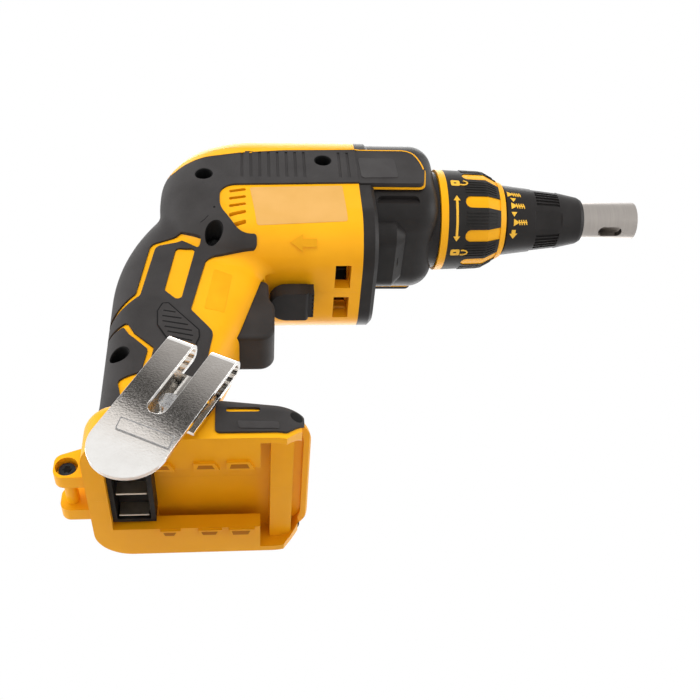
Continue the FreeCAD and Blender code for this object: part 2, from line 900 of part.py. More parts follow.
def gear_case_solid():
    """Black gear case: rear flange, squarish body, bump for the pinion, front boss and neck."""
    outline = box_section(head_half_width, head_bottom, head_top, head_edge_radius)
    flange = end_prism(outline, flange_x, flange_front_x)
    rim = edges_where(flange, lambda b: b.XMin > flange_front_x - 1e-3)
    flange = flange.makeChamfer(flange_chamfer, rim)
    outline = box_section(case_half_width, case_bottom, case_top, case_edge_radius)
    main = end_prism(outline, flange_x, case_shoulder_x)
    shoulder = edges_where(main, lambda b: b.XMin > case_shoulder_x - 1e-3)
    main = main.makeFillet(case_shoulder_radius, shoulder)
    bump = end_prism(box_section(bump_half_width, bump_bottom, 0, bump_edge_radius), flange_x, bump_front_x)
    front_edges = edges_where(bump, lambda b: b.XMin > bump_front_x - 1e-3)
    bump = bump.makeChamfer(bump_edge_radius - 4, front_edges)
    boss = rod(case_shoulder_x - case_shoulder_radius, case_front_x, case_boss_radius)
    seat = rod(case_shoulder_x, case_front_x + collar_seat_length, collar_seat_radius)
    neck = rod(case_shoulder_x, case_front_x + neck_reach, neck_radius)
    outside = flange.fuse([main, bump, boss, seat, neck])

    inner = box_section(case_half_width - case_wall, case_bottom + case_wall, case_top - case_wall,
                        case_edge_radius - case_wall)
    room = end_prism(inner, flange_x - 1, case_inner_x)
    pinion_room = rod(flange_x - 1, bump_front_x - case_wall, plate_lobe_radius(), motor_z)
    bore = rod(case_inner_x - 1, case_front_x + neck_reach + 1, neck_bore_radius)
    solid = outside.cut([room, pinion_room, bore])

    lower = case_bottom + 3
    corners = [
        (flange_front_x + 2, lower, 2.5), (flange_x + 29, lower, 2.5),
        (flange_x + 32, tongue_bottom - 2, 2.5), (flange_front_x + 2, tongue_bottom - 2, 2.5),
    ]
    pocket = side_prism(corners, -case_half_width - 1, -case_half_width + pocket_depth)
    arm = side_prism(tongue_corners(-seat_clearance), -head_half_width - 1, -case_half_width)
    heads = []
    for y, z in flange_screws:
        for side in (-1, 1):
            start = Vector(flange_front_x - screw_head_length, side * y, z)
            heads.append(Part.makeCylinder(screw_head_radius + 0.3, 20, start, Vector(1, 0, 0)))
    tools = [pocket, mirrored(pocket), arm, mirrored(arm)] + heads + flange_screw_holes()
    return largest(solid.cut(tools))


def plate_lobe_radius():
    return front_bearing_radius + bearing_boss_wall


def bearing_plate_solid():
    """Plate between motor and gears that holds the motor's front bearing and the gear's bearing."""
    gap = seat_clearance
    inset = case_wall + gap
    inner = box_section(case_half_width - inset, case_bottom + inset, case_top - inset, case_edge_radius - inset)
    plate = end_prism(inner, flange_x, plate_front_x)
    lobe = rod(flange_x, plate_front_x, plate_lobe_radius() - gap, motor_z)
    boss = rod(plate_front_x, plate_front_x + hub_length - 0.5, gear_bearing_radius + bearing_boss_wall)
    pilot_room = rod(plate_front_x - push_travel - 0.5, plate_front_x, pilot_radius + 1)
    bearing_hole = rod(flange_x, plate_front_x, front_bearing_radius, motor_z)
    bearing_pocket = rod(plate_front_x, plate_front_x + hub_length, gear_bearing_radius)
    return plate.fuse([lobe, boss]).cut([pilot_room, bearing_hole, bearing_pocket])


def toothed(teeth, module, x_from, x_to, turn, z):
    """Spur gear blank with straight flanked teeth, a little thinner than the gaps."""
    pitch_radius = module * teeth / 2
    tip = pitch_radius + 0.8 * module
    root = pitch_radius - 1.2 * module
    step = 2 * math.pi / teeth
    points = []
    for i in range(teeth):
        middle = turn + i * step
        flank = [(root, -0.36), (tip, -0.13), (tip, 0.13), (root, 0.36)]
        for radius, share in flank:
            angle = middle + share * step
            points.append(Vector(x_from, radius * math.cos(angle), z + radius * math.sin(angle)))
    face = Part.Face(Part.makePolygon(points + points[:1]))
    return face.extrude(Vector(x_to - x_from, 0, 0))


def dogs(x_from, x_to, turn):
    """Clutch dogs, ring sectors standing off a face."""
    start = Vector(x_from, 0, 0)
    sector = Part.makeCylinder(dog_outer_radius, x_to - x_from, start, Vector(1, 0, 0), dog_angle)
    sector = sector.cut(rod(x_from, x_to, dog_inner_radius))
    sector.rotate(Vector(0, 0, 0), Vector(1, 0, 0), turn)
    return around(sector, dog_count)


def drive_gear_solid():
    gap_down = -math.pi / 2 + math.pi / gear_teeth
    wheel = toothed(gear_teeth, gear_module, gear_rear_x, gear_front_x, gap_down, 0)
    hub = rod(plate_front_x + 0.2, gear_rear_x, hub_radius - shaft_clearance)
    gear = wheel.fuse([hub] + dogs(gear_front_x, gear_dog_x, 0))
    return gear.cut(rod(plate_front_x, gear_dog_x, pilot_radius + shaft_clearance))


def spindle_solid():
    """Spindle with its clutch flange, rear pilot and hex socket for the bit holder."""
    tip = case_front_x + spindle_reach
    shaft = rod(spindle_flange_x, tip, spindle_radius)
    flange = rod(spindle_dog_x, spindle_flange_x, spindle_flange_radius)
    pilot = rod(plate_front_x + 2, spindle_dog_x, pilot_radius)
    solid = shaft.fuse([flange, pilot] + dogs(spindle_dog_x - dog_height, spindle_dog_x, 180.0 / dog_count))
    return solid.cut(hex_bar(tip - holder_shank_length, tip, bit_flat + 2 * seat_clearance))


def hex_bar(x_from, x_to, flats):
    corner = flats / math.sqrt(3)
    points = []
    for i in range(6):
        angle = math.radians(60 * i)
        points.append(Vector(x_from, corner * math.cos(angle), corner * math.sin(angle)))
    return Part.Face(Part.makePolygon(points + points[:1])).extrude(Vector(x_to - x_from, 0, 0))


def bit_holder_solid():
    rear = case_front_x + spindle_reach
    front = -holder_setback
    body = rod(rear, front, holder_radius)
    shank = hex_bar(rear - holder_shank_length + 0.5, rear, bit_flat)
    socket = hex_bar(front - bit_socket_depth, front, bit_flat + 0.15)
    magnet_hole = rod(front - bit_socket_depth - magnet_length, front - bit_socket_depth, magnet_radius)
    return body.fuse(shank).cut([socket, magnet_hole])


def bit_magnet_solid():
    front = -holder_setback - bit_socket_depth
    return rod(front - magnet_length, front, magnet_radius)


def clutch_spring_solid():
    """Sleeve with the outside size of the compression spring between gear and spindle flange."""
    inner = spring_coil_radius - spring_wire_radius
    return tube(gear_front_x, spindle_dog_x, inner, spring_coil_radius + spring_wire_radius)


def depth_locator_solid():
    """Plain sleeve with an oval window on its underside."""
    sleeve = tube(-locator_reach - locator_tail, 0, locator_rear_bore_radius, locator_radius)
    sleeve = sleeve.cut(rod(-locator_mouth_length, 0, locator_bore_radius))
    half = window_width / 2
    front = -window_setback
    rear = front - window_length
    turn = half * 0.98
    corners = [(rear, -half, turn), (front, -half, turn), (front, half, turn), (rear, half, turn)]
    window = plan_prism(corners, -locator_radius - 1, 0)
    return sleeve.cut(window)


def depth_ring_solid():
    """Tapered adjuster ring with grip grooves in its middle stretch."""
    bore = carrier_radius + slide_clearance
    mouth = guide_bore_radius + slide_clearance
    step_x = carrier_front_x() + running_gap
    waist_x = ring_front_x - ring_nose_length
    band_x = ring_rear_x + ring_band_length
    slope = (ring_rear_radius - ring_waist_radius) / (waist_x - ring_rear_x)
    band_radius = ring_rear_radius - slope * ring_band_length
    profile = [
        (ring_rear_x, bore), (ring_rear_x, ring_rear_radius - 0.8), (ring_rear_x + 0.8, ring_rear_radius),
        (band_x, band_radius), (waist_x, ring_waist_radius), (ring_front_x - 2, ring_nose_radius + 0.8),
        (ring_front_x, ring_nose_radius - 0.4), (ring_front_x, mouth), (ring_front_x - 2, mouth),
        (step_x, mouth), (step_x, bore),
    ]
    ring = turned(profile)
    lean = math.degrees(math.atan(slope))
    pivot = Vector(waist_x, 0, ring_waist_radius)
    half = ring_groove_width / 2
    top = ring_rear_radius + 2
    groove = block(band_x + 2, waist_x + 1, -half, half, ring_waist_radius - ring_groove_depth, top)
    groove.rotate(pivot, Vector(0, 1, 0), lean)
    wide = ring_waist_radius
    flat = block(band_x + 1, waist_x + 2, -wide, wide, ring_waist_radius - ring_flat_depth, top)
    flat.rotate(pivot, Vector(0, 1, 0), lean)
    tools = []
    middle = (ring_pad_grooves - 1) / 2
    for pad in range(ring_pad_count):
        centre = ring_pad_turn + 360.0 * pad / ring_pad_count
        for i in range(ring_pad_grooves):
            tools.append(turned_by(groove, centre + (i - middle) * ring_groove_pitch))
        tools.append(turned_by(flat, centre + 180.0 / ring_pad_count))
    return ring.cut(tools)


def turned_by(shape, degrees):
    """Copy of the shape, turned about the spindle axis."""
    copy = shape.copy()
    copy.rotate(Vector(0, 0, 0), Vector(1, 0, 0), degrees)
    return copy


def carrier_front_x():
    return ring_front_x - ring_nose_length


def nose_carrier_solid():
    """Stepped tube: it slides on the neck at the rear and guides the locator at the front."""
    rear = ring_rear_x - carrier_overlap
    front = carrier_front_x()
    body = rod(rear, front, carrier_radius)
    neck_end = case_front_x + neck_reach + running_gap
    return body.cut([rod(rear, neck_end, carrier_bore_radius), rod(neck_end, front, guide_bore_radius)])


def collar_outer(drop):
    """Outside of the lock collar, lowered by drop."""
    chamfer_x = collar_front_x - collar_chamfer_length
    bore = collar_seat_radius + shaft_clearance
    return turned([
        (collar_rear_x, bore), (collar_rear_x, collar_rear_radius - drop),
        (chamfer_x, collar_front_radius - drop),
        (collar_front_x, collar_front_radius - collar_chamfer_drop - drop), (collar_front_x, bore),
    ])


def collar_fingers():
    """Round ended bars that run back from the collar's front ring."""
    half = collar_finger_width / 2
    front = collar_front_x
    rear = front - collar_finger_length
    corners = [(rear, -half, half * 0.98), (front, -half, 0), (front, half, 0), (rear, half, half * 0.98)]
    bar = plan_prism(corners, collar_seat_radius + 1, collar_rear_radius + 1)
    return around(bar, collar_finger_count)


def lock_collar_parts():
    far = collar_rear_radius + 1
    cover_zone = rod(collar_rear_x + collar_rear_ring, collar_front_x - collar_front_ring, far)
    full = collar_outer(0)
    low = collar_outer(collar_cover_depth)
    bars = collar_fingers()
    cover = full.cut(low).common(cover_zone).cut(bars)
    core = full.cut(cover)
    trim = collar_outer(-5).cut(collar_outer(collar_finger_drop)).common(cover_zone)
    for bar in bars:
        core = core.cut(bar.common(trim))
    return {"lock_collar": largest(core), "lock_collar_grip": largest(cover)}


def trigger_solid():
    """Two finger trigger with a stem into the switch; its upper front steps back under the lever."""
    front = handle_front_x + trigger_proud
    rear = trigger_rear_x()
    step_z = trigger_top - lever_height - 4
    corners = [
        (rear, trigger_top, 0),
        (front - trigger_step, trigger_top, 3),
        (front - trigger_step, step_z, 8),
        (front, step_z - 5, 8),
        (front - 0.6, trigger_bottom, 7),
        (rear, trigger_bottom, 0),
    ]
    solid = side_prism(corners, -trigger_half_width, trigger_half_width)
    sides = edges_where(solid, lambda b: b.YLength < 1e-3 and b.XMax > rear + 0.5)
    solid = solid.makeFillet(trigger_edge_radius, sides)
    stem_z = switch_top - switch_height / 2
    return solid.fuse(rod(rear - stem_length, rear, stem_radius, stem_z))


def switch_body_solid():
    front = switch_front_x()
    rear = front - switch_length
    half = switch_half_width
    solid = block(rear, front, -half, half, switch_top - switch_height, switch_top)
    upright = edges_where(solid, lambda b: b.ZLength > switch_height / 2)
    solid = solid.makeChamfer(1.5, upright)
    stem_z = switch_top - switch_height / 2
    rear = trigger_rear_x() - stem_length - trigger_travel - 0.5
    bore = rod(rear, front, stem_radius + slide_clearance, stem_z)
    return solid.cut(bore)


def reverse_lever_solid():
    """Lever with a round root on its pivot and a ridged tip."""
    x = lever_pivot_x()
    top = head_bottom - trigger_top_gap
    bottom = top - lever_height
    half = lever_half_width
    reach = x + lever_length
    root = Part.makeCylinder(half, lever_height, Vector(x, 0, bottom), Vector(0, 0, 1))
    arm_corners = [(x - 0.5, bottom, 0), (reach, bottom, 2), (reach, top, 1.5), (x - 0.5, top, 0)]
    arm = side_prism(arm_corners, -half, half)
    tip = block(reach - 2, reach + lever_tip_length, -half + 1, half - 1, bottom + 1.2, top + 0.8)
    reach_up = wall + trigger_top_gap + 1
    stub = Part.makeCylinder(lever_pivot_radius, reach_up, Vector(x, 0, top), Vector(0, 0, 1))
    keeper = Part.makeCylinder(lever_keeper_radius, lever_keeper_thickness,
                               Vector(x, 0, head_bottom + wall + axial_play), Vector(0, 0, 1))
    ridges = []
    pitch = 2 * (half - 1) / lever_ridge_count
    face = reach + lever_tip_length
    for i in range(lever_ridge_count):
        y = -half + 1 + (i + 0.25) * pitch
        ridges.append(block(face - 0.9, face + 1, y, y + pitch / 2, bottom, top + 1))
    return root.fuse([arm, tip, stub, keeper]).cut(ridges)


def lock_button_solid():
    x, z = button_place()
    inner_wall = handle_half_width - wall
    inner_end = trigger_half_width + button_travel + running_gap
    stem = cross_rod(x, z, inner_end, handle_half_width + button_proud, button_radius)
    crown = edges_where(stem, lambda b: b.YMin > handle_half_width + button_proud - 1e-3)
    stem = stem.makeChamfer(0.6, crown)
    flange_y = inner_wall - axial_play
    flange_rear_y = flange_y - button_flange_thickness
    return stem.fuse(cross_rod(x, z, flange_rear_y, flange_y, button_radius + button_flange))


def fan_solid():
    """Radial fan: a disc on the shaft with straight blades."""
    disc = rod(fan_front_x - fan_disc_thickness, fan_front_x, fan_radius, motor_z)
    hub = rod(fan_front_x - fan_length, fan_front_x, shaft_radius + 4, motor_z)
    half = fan_blade_thickness / 2
    root = motor_z + shaft_radius + 3
    blade = block(fan_front_x - fan_length, fan_front_x - 1, -half, half, root, motor_z + fan_radius)
    blade.rotate(Vector(fan_front_x, 0, motor_z + fan_radius * 0.6), Vector(1, 0, 0), 25)
    blade = blade.common(rod(fan_front_x - fan_length, fan_front_x, fan_radius, motor_z))
    solid = disc.fuse([hub] + around(blade, fan_blade_count, motor_z))
    return solid.cut(rod(fan_front_x - fan_length, fan_front_x, shaft_radius, motor_z))


def stator_parts():
    bore = rotor_radius + air_gap
    core = tube(stator_rear_x, stator_front_x, bore, stator_radius, motor_z)
    rear = stator_rear_x - winding_overhang
    front = stator_front_x + winding_overhang
    half = slot_width / 2
    slot = block(stator_rear_x, stator_front_x, -half, half, motor_z + bore + 2, motor_z + winding_radius - 1)
    slots = around(slot, slot_count, motor_z)
    wound = core.cut(slots)
    rear_ring = tube(rear, stator_rear_x, bore + 1.2, winding_radius, motor_z)
    front_ring = tube(stator_front_x, front, bore + 1.2, winding_radius, motor_z)
    coils = rear_ring.fuse([front_ring] + slots)
    return {"motor_stator": wound, "stator_windings": largest(coils)}


def terminal_block_solid():
    rear = foot_rear_x + dock_rear_band
    bottom = dock_ceiling - block_drop
    solid = block(rear, rear + block_length, -block_half_width, block_half_width, bottom, dock_ceiling)
    pocket = block(rear + block_wall, rear + block_length - block_wall, -block_half_width + block_wall,
                   block_half_width - block_wall, bottom - 1, dock_ceiling - block_wall)
    return solid.cut(pocket)


def terminal_blades_solid():
    middle = foot_rear_x + dock_rear_band + block_length / 2
    half = blade_thickness / 2
    top = dock_ceiling - block_wall
    blades = []
    for i in (-1, 0, 1):
        y = i * blade_spacing
        blades.append(block(middle - blade_length / 2, middle + blade_length / 2, y - half, y + half,
                            dock_ceiling - block_drop + 0.8, top))
    return Part.makeCompound(blades)


def control_module_solid():
    rear = handle_back_x + wall + 8.5
    half = module_half_width
    solid = block(rear, rear + module_length, -half, half, floor_z, floor_z + module_height)
    upright = edges_where(solid, lambda b: b.ZLength > module_height / 2)
    return solid.makeFillet(3, upright)


def belt_hook_solid():
    """Spring steel strip: mounting leg, hairpin, forked outer leaf and rounded tongue."""
    t = hook_thickness
    gap = 2 * hook_bend_radius
    tongue = hook_width / 2
    top = hook_length
    leg_y = -foot_half_width - hook_boss_height
    leaf_y = leg_y - t - gap
    bend_y = leg_y - t - hook_bend_radius
    leg = block(-tongue, tongue, leg_y - t, leg_y, top - hook_leg_length, top)
    leaf = block(-tongue, tongue, leaf_y - t, leaf_y, -tongue, top)
    outer = Part.makeCylinder(hook_bend_radius + t, hook_width, Vector(-tongue, bend_y, top), Vector(1, 0, 0))
    inner = Part.makeCylinder(hook_bend_radius, hook_width, Vector(-tongue, bend_y, top), Vector(1, 0, 0))
    bend = outer.cut(inner).common(block(-tongue, tongue, leaf_y - t - 1, leg_y + 1, top, top + 20))
    strip = leg.fuse([leaf, bend])
    slot_half = hook_slot_width / 2
    slot_low = hook_slot_start + slot_half
    slot = block(-slot_half, slot_half, leaf_y - t - 1, leg_y - t - 0.01, slot_low, top + 20)
    slot_end = cross_rod(0, hook_slot_start + slot_half, leaf_y - t - 1, leaf_y + 1, slot_half)
    above = block(-slot_half, slot_half, leaf_y - t - 1, leg_y + 1, top - 8, top + 20)
    round_end = cross_rod(0, 0, leaf_y - t - 1, leaf_y + 1, tongue)
    end_zone = block(-tongue - 1, tongue + 1, leaf_y - t - 1, leaf_y + 1, -tongue - 1, 0)
    strip = strip.cut([slot, slot_end, above, end_zone.cut(round_end)])
    strip.rotate(Vector(0, 0, 0), Vector(0, 1, 0), hook_lean)
    anchor_x, anchor_z = hook_anchor()
    lean = math.radians(hook_lean)
    hole_height = top - hook_leg_length + hook_boss_radius
    start_x = anchor_x - hole_height * math.sin(lean)
    strip.translate(Vector(start_x, 0, anchor_z - hole_height * math.cos(lean)))
    hole = cross_rod(anchor_x, anchor_z, leaf_y - t - 2, leg_y + 1, hook_screw_radius + 0.2)
    return strip.cut(hole)


def belt_hook_screw_solid():
    x, z = hook_anchor()
    face = -foot_half_width - hook_boss_height - hook_thickness
    head = cross_rod(x, z, face - 2.2, face, 3.8)
    shank = cross_rod(x, z, face, -foot_half_width + dock_wall + 3.5, hook_screw_radius)
    return head.fuse(shank)


def housing_screws_solid():
    screws = []
    for x, z, seat in screw_places:
        head = cross_rod(x, z, seat - screw_head_length, seat, screw_head_radius)
        shank = cross_rod(x, z, seat, screw_reach, screw_radius)
        screws.append(head.fuse(shank))
    return Part.makeCompound(screws)


def gear_case_screws_solid():
    screws = []
    for y, z in flange_screws:
        for side in (-1, 1):
            seat = Vector(flange_front_x - screw_head_length, side * y, z)
            head = Part.makeCylinder(screw_head_radius, screw_head_length, seat, Vector(1, 0, 0))
            start = Vector(back(flange_screw_reach - 3), side * y, z)
            shank = Part.makeCylinder(screw_radius, seat.x - start.x, start, Vector(1, 0, 0))
            screws.append(head.fuse(shank))
    return Part.makeCompound(screws)


def all_parts():
    parts = housing_and_grips()
    parts["gear_case"] = gear_case_solid()
    parts["bearing_plate"] = bearing_plate_solid()
    parts["housing_screws"] = housing_screws_solid()
    parts["gear_case_screws"] = gear_case_screws_solid()
    parts["belt_hook"] = belt_hook_solid()
    parts["belt_hook_screw"] = belt_hook_screw_solid()
    parts["terminal_block"] = terminal_block_solid()
    parts["terminal_blades"] = terminal_blades_solid()
    parts["switch_body"] = switch_body_solid()
    parts["control_module"] = control_module_solid()
    parts.update(stator_parts())
    rear_x = rear_bearing_x - rear_bearing_width
    bore = shaft_radius + shaft_clearance
    parts["rear_bearing"] = tube(rear_x, rear_bearing_x, bore, rear_bearing_radius, motor_z)
    parts["front_bearing"] = tube(flange_x, plate_front_x, bore, front_bearing_radius, motor_z)
    parts["gear_bearing"] = tube(plate_front_x, gear_rear_x - 0.2, hub_radius, gear_bearing_radius)
    bush_front = case_front_x + neck_reach - 20
    parts["spindle_bush"] = tube(case_inner_x + 1, bush_front, spindle_radius + shaft_clearance, neck_bore_radius)
    washer_rear = case_inner_x - washer_thickness
    parts["thrust_washer"] = tube(washer_rear, case_inner_x, spindle_radius + 1, washer_radius)
    parts["motor_shaft"] = rod(rear_x + 0.3, pinion_front_x, shaft_radius, motor_z)
    parts["rotor_core"] = tube(stator_rear_x, stator_front_x, shaft_radius, rotor_radius, motor_z)
    parts["fan"] = fan_solid()
    pinion_rear = gear_rear_x - pinion_overhang
    pinion = toothed(pinion_teeth, gear_module, pinion_rear, pinion_front_x, math.pi / 2, motor_z)
    parts["pinion"] = pinion.cut(rod(pinion_rear, pinion_front_x, shaft_radius, motor_z))
    parts["drive_gear"] = drive_gear_solid()
    parts["clutch_spring"] = clutch_spring_solid()
    parts["spindle"] = spindle_solid()
    parts["bit_holder"] = bit_holder_solid()
    parts["bit_magnet"] = bit_magnet_solid()
    parts["nose_carrier"] = nose_carrier_solid()
    parts["depth_ring"] = depth_ring_solid()
    parts["depth_locator"] = depth_locator_solid()
    parts.update(lock_collar_parts())
    parts["trigger"] = trigger_solid()
    parts["reverse_lever"] = reverse_lever_solid()
    parts["lock_button"] = lock_button_solid()
    return parts


os.makedirs("parts", exist_ok=True)
for name, shape in all_parts().items():
    shape.exportStep(f"parts/{name}.step")
    print(name, shape.isValid(), len(shape.Solids), round(shape.Volume))
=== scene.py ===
import math
import bmesh
import bpy
from mathutils import Matrix, Vector
from mathutils.bvhtree import BVHTree


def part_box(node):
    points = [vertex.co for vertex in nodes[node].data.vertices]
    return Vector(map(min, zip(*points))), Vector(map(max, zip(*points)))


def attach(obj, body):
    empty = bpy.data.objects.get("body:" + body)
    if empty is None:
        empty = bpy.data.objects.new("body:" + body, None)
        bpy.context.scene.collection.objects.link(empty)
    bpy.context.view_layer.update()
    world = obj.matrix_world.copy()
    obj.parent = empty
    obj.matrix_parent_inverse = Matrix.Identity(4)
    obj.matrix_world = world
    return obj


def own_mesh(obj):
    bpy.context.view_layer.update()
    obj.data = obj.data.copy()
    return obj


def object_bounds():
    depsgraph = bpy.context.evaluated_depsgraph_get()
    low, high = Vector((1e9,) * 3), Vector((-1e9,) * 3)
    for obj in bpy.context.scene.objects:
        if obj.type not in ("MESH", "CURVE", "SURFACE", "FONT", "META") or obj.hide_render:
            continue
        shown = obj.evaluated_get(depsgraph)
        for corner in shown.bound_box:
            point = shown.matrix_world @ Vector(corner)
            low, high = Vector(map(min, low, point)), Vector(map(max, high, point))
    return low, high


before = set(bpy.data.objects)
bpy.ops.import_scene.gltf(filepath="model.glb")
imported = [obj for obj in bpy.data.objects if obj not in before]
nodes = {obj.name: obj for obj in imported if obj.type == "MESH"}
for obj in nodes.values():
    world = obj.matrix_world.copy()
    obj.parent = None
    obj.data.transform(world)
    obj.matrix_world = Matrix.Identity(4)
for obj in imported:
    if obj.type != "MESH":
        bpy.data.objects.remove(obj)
cad_low, cad_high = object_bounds()

# Motor: a wound stator of stacked sheet steel, a rotor on a ground shaft in two ball bearings, and a
# moulded fan. It is laid into one half before the other closes over it, and shows only through the vents.
NOISE_LOW, NOISE_HIGH = 0.3, 0.7
DRIFT_DETAIL = 3.0
GRAIN_DETAIL = 2.0
EDGE_RADIUS = 0.0003
EDGE_SAMPLES = 4
SHINE = 0.2
SHARP_ANGLE = math.radians(28)


def blank(name):
    """An empty finish, with the calls that add and join its shader nodes."""
    made = bpy.data.materials.new(name)
    made.use_nodes = True
    tree = made.node_tree
    tree.nodes.clear()
    return made, tree.nodes.new, tree.links.new


def surface(name, dark, light, patch, rough, grain, relief, metal=0.0, stretch=(1, 1, 1)):
    """A finish whose colour drifts between two shades, with a fine grain in its gloss and its relief."""
    made, new, link = blank(name)
    out = new("ShaderNodeOutputMaterial")
    shader = new("ShaderNodeBsdfPrincipled")
    shader.inputs["Metallic"].default_value = metal
    shader.inputs["Specular IOR Level"].default_value = SHINE
    place = new("ShaderNodeTexCoord")
    scale = new("ShaderNodeMapping")
    scale.inputs["Scale"].default_value = stretch
    drift = new("ShaderNodeTexNoise")
    drift.inputs["Scale"].default_value = patch
    drift.inputs["Detail"].default_value = DRIFT_DETAIL
    shades = new("ShaderNodeValToRGB")
    shades.color_ramp.elements[0].position = NOISE_LOW
    shades.color_ramp.elements[0].color = (*dark, 1)
    shades.color_ramp.elements[1].position = NOISE_HIGH
    shades.color_ramp.elements[1].color = (*light, 1)
    specks = new("ShaderNodeTexNoise")
    specks.inputs["Scale"].default_value = grain
    specks.inputs["Detail"].default_value = GRAIN_DETAIL
    gloss = new("ShaderNodeMapRange")
    gloss.inputs["From Min"].default_value = NOISE_LOW
    gloss.inputs["From Max"].default_value = NOISE_HIGH
    gloss.inputs["To Min"].default_value = rough[0]
    gloss.inputs["To Max"].default_value = rough[1]
    soft = new("ShaderNodeBevel")
    soft.samples = EDGE_SAMPLES
    soft.inputs["Radius"].default_value = EDGE_RADIUS
    bump = new("ShaderNodeBump")
    bump.inputs["Strength"].default_value = 1.0
    bump.inputs["Distance"].default_value = relief
    link(place.outputs["Object"], scale.inputs["Vector"])
    link(scale.outputs["Vector"], drift.inputs["Vector"])
    link(scale.outputs["Vector"], specks.inputs["Vector"])
    link(drift.outputs["Fac"], shades.inputs["Fac"])
    link(shades.outputs["Color"], shader.inputs["Base Color"])
    link(specks.outputs["Fac"], gloss.inputs["Value"])
    link(gloss.outputs["Result"], shader.inputs["Roughness"])
    link(specks.outputs["Fac"], bump.inputs["Height"])
    link(soft.outputs["Normal"], bump.inputs["Normal"])
    link(bump.outputs["Normal"], shader.inputs["Normal"])
    link(shader.outputs["BSDF"], out.inputs["Surface"])
    return made


def smooth(mesh):
    """Smooth shading on curved faces, with crisp edges."""
    for face in mesh.polygons:
        face.use_smooth = True
    mesh.set_sharp_from_angle(angle=SHARP_ANGLE)


def dress(names, made):
    """Gives the named solids their finish."""
    for name in names:
        mesh = nodes[name].data
        mesh.materials.clear()
        mesh.materials.append(made)
        smooth(mesh)


laminations = surface("laminations", dark=(0.26, 0.26, 0.27), light=(0.40, 0.40, 0.41), patch=300,
                      rough=(0.35, 0.5), grain=900, relief=2e-5, metal=1.0, stretch=(6, 0.3, 0.3))
copper = surface("enamelled_copper", dark=(0.55, 0.20, 0.07), light=(0.78, 0.34, 0.14), patch=500,
                 rough=(0.25, 0.4), grain=1500, relief=2e-5, metal=1.0, stretch=(1, 4, 4))
ground = surface("ground_steel", dark=(0.55, 0.55, 0.56), light=(0.68, 0.68, 0.69), patch=400,
                 rough=(0.18, 0.32), grain=1800, relief=1e-5, metal=1.0, stretch=(4, 0.4, 0.4))
fan_resin = surface("fan_resin", dark=(0.012, 0.012, 0.013), light=(0.022, 0.022, 0.024), patch=160,
                    rough=(0.45, 0.6), grain=1600, relief=1e-5)
dress(["motor_stator", "rotor_core"], laminations)
dress(["stator_windings"], copper)
dress(["motor_shaft", "front_bearing", "rear_bearing"], ground)
dress(["fan"], fan_resin)

# Gears, clutch and spindle: cut steel gears, a spring wound from round wire, a bronze bush and a die cast
# bearing plate. They stack on the spindle axis inside the gear case and turn in their bearings. In the tool
# the spring shortens towards its rear end when the spindle is pushed in. Here it keeps its shape, on a mesh
# of its own.
MM = 0.001
cut_steel = surface("cut_steel", dark=(0.42, 0.42, 0.44), light=(0.58, 0.58, 0.60), patch=350,
                    rough=(0.22, 0.38), grain=1500, relief=1e-5, metal=1.0, stretch=(3, 0.5, 0.5))
spring_wire = surface("spring_wire", dark=(0.30, 0.30, 0.31), light=(0.44, 0.43, 0.42), patch=600,
                      rough=(0.25, 0.4), grain=2000, relief=1e-5, metal=1.0)
bronze = surface("sintered_bronze", dark=(0.48, 0.27, 0.10), light=(0.62, 0.38, 0.16), patch=700,
                 rough=(0.35, 0.5), grain=2600, relief=1e-5, metal=1.0)
die_cast = surface("die_cast_alloy", dark=(0.50, 0.50, 0.51), light=(0.64, 0.64, 0.65), patch=250,
                   rough=(0.35, 0.5), grain=1300, relief=3e-5, metal=1.0)
dress(["pinion", "drive_gear", "thrust_washer", "gear_bearing"], cut_steel)
dress(["spindle", "bit_holder", "bit_magnet"], ground)
dress(["clutch_spring"], spring_wire)
dress(["spindle_bush"], bronze)
dress(["bearing_plate"], die_cast)
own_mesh(nodes["clutch_spring"])

# Switch, control module and battery contacts: moulded black blocks clipped into ribs of the halves, with
# tinned brass blades that stand in the dock.
block_resin = surface("block_resin", dark=(0.007, 0.006, 0.006), light=(0.013, 0.012, 0.012), patch=140,
                      rough=(0.42, 0.55), grain=1500, relief=1e-6)
blade_metal = surface("tinned_brass", dark=(0.62, 0.58, 0.50), light=(0.72, 0.68, 0.60), patch=300,
                      rough=(0.36, 0.40), grain=400, relief=1e-6, metal=1.0)
dress(["switch_body", "control_module", "terminal_block"], block_resin)
dress(["terminal_blades"], blade_metal)

# Gear case: moulded from black glass filled nylon, with a rear flange that screws to the housing.
# Its screws are zinc plated steel.
case_nylon = surface("case_nylon", dark=(0.012, 0.0105, 0.010), light=(0.020, 0.018, 0.0175), patch=90,
                     rough=(0.38, 0.52), grain=2200, relief=2e-5)
zinc = surface("zinc_plate", dark=(0.50, 0.50, 0.51), light=(0.66, 0.66, 0.66), patch=500,
               rough=(0.2, 0.36), grain=1800, relief=1e-5, metal=1.0)
dress(["gear_case"], case_nylon)
dress(["gear_case_screws"], zinc)

# Housing halves: two moulded clamshell halves in yellow filled nylon that close on the middle plane. The
# right one has a bare rating plate, a raised arrow and a textured thumb pad, and the dock's rails carry
# moulded stops with pockets, the pockets drawn as dark orange patches of painted shade. Places are in
# millimetres behind the gear case's flange, and up or out.
RIGHT, LEFT = -1, 1
SIDES = ((RIGHT, "right"), (LEFT, "left"))
FAR_OUT = 0.3
SINK = 0.3
CUT_MERGE = 1e-5
CORNER_STEPS = 5
flange_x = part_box("gear_case")[0].x


def skin(*names):
    """The surface of the named solids, for laying pieces on it."""
    points, faces = [], []
    for name in names:
        mesh = nodes[name].data
        start = len(points)
        points += [v.co.copy() for v in mesh.vertices]
        faces += [[start + i for i in p.vertices] for p in mesh.polygons]
    return BVHTree.FromPolygons(points, faces)


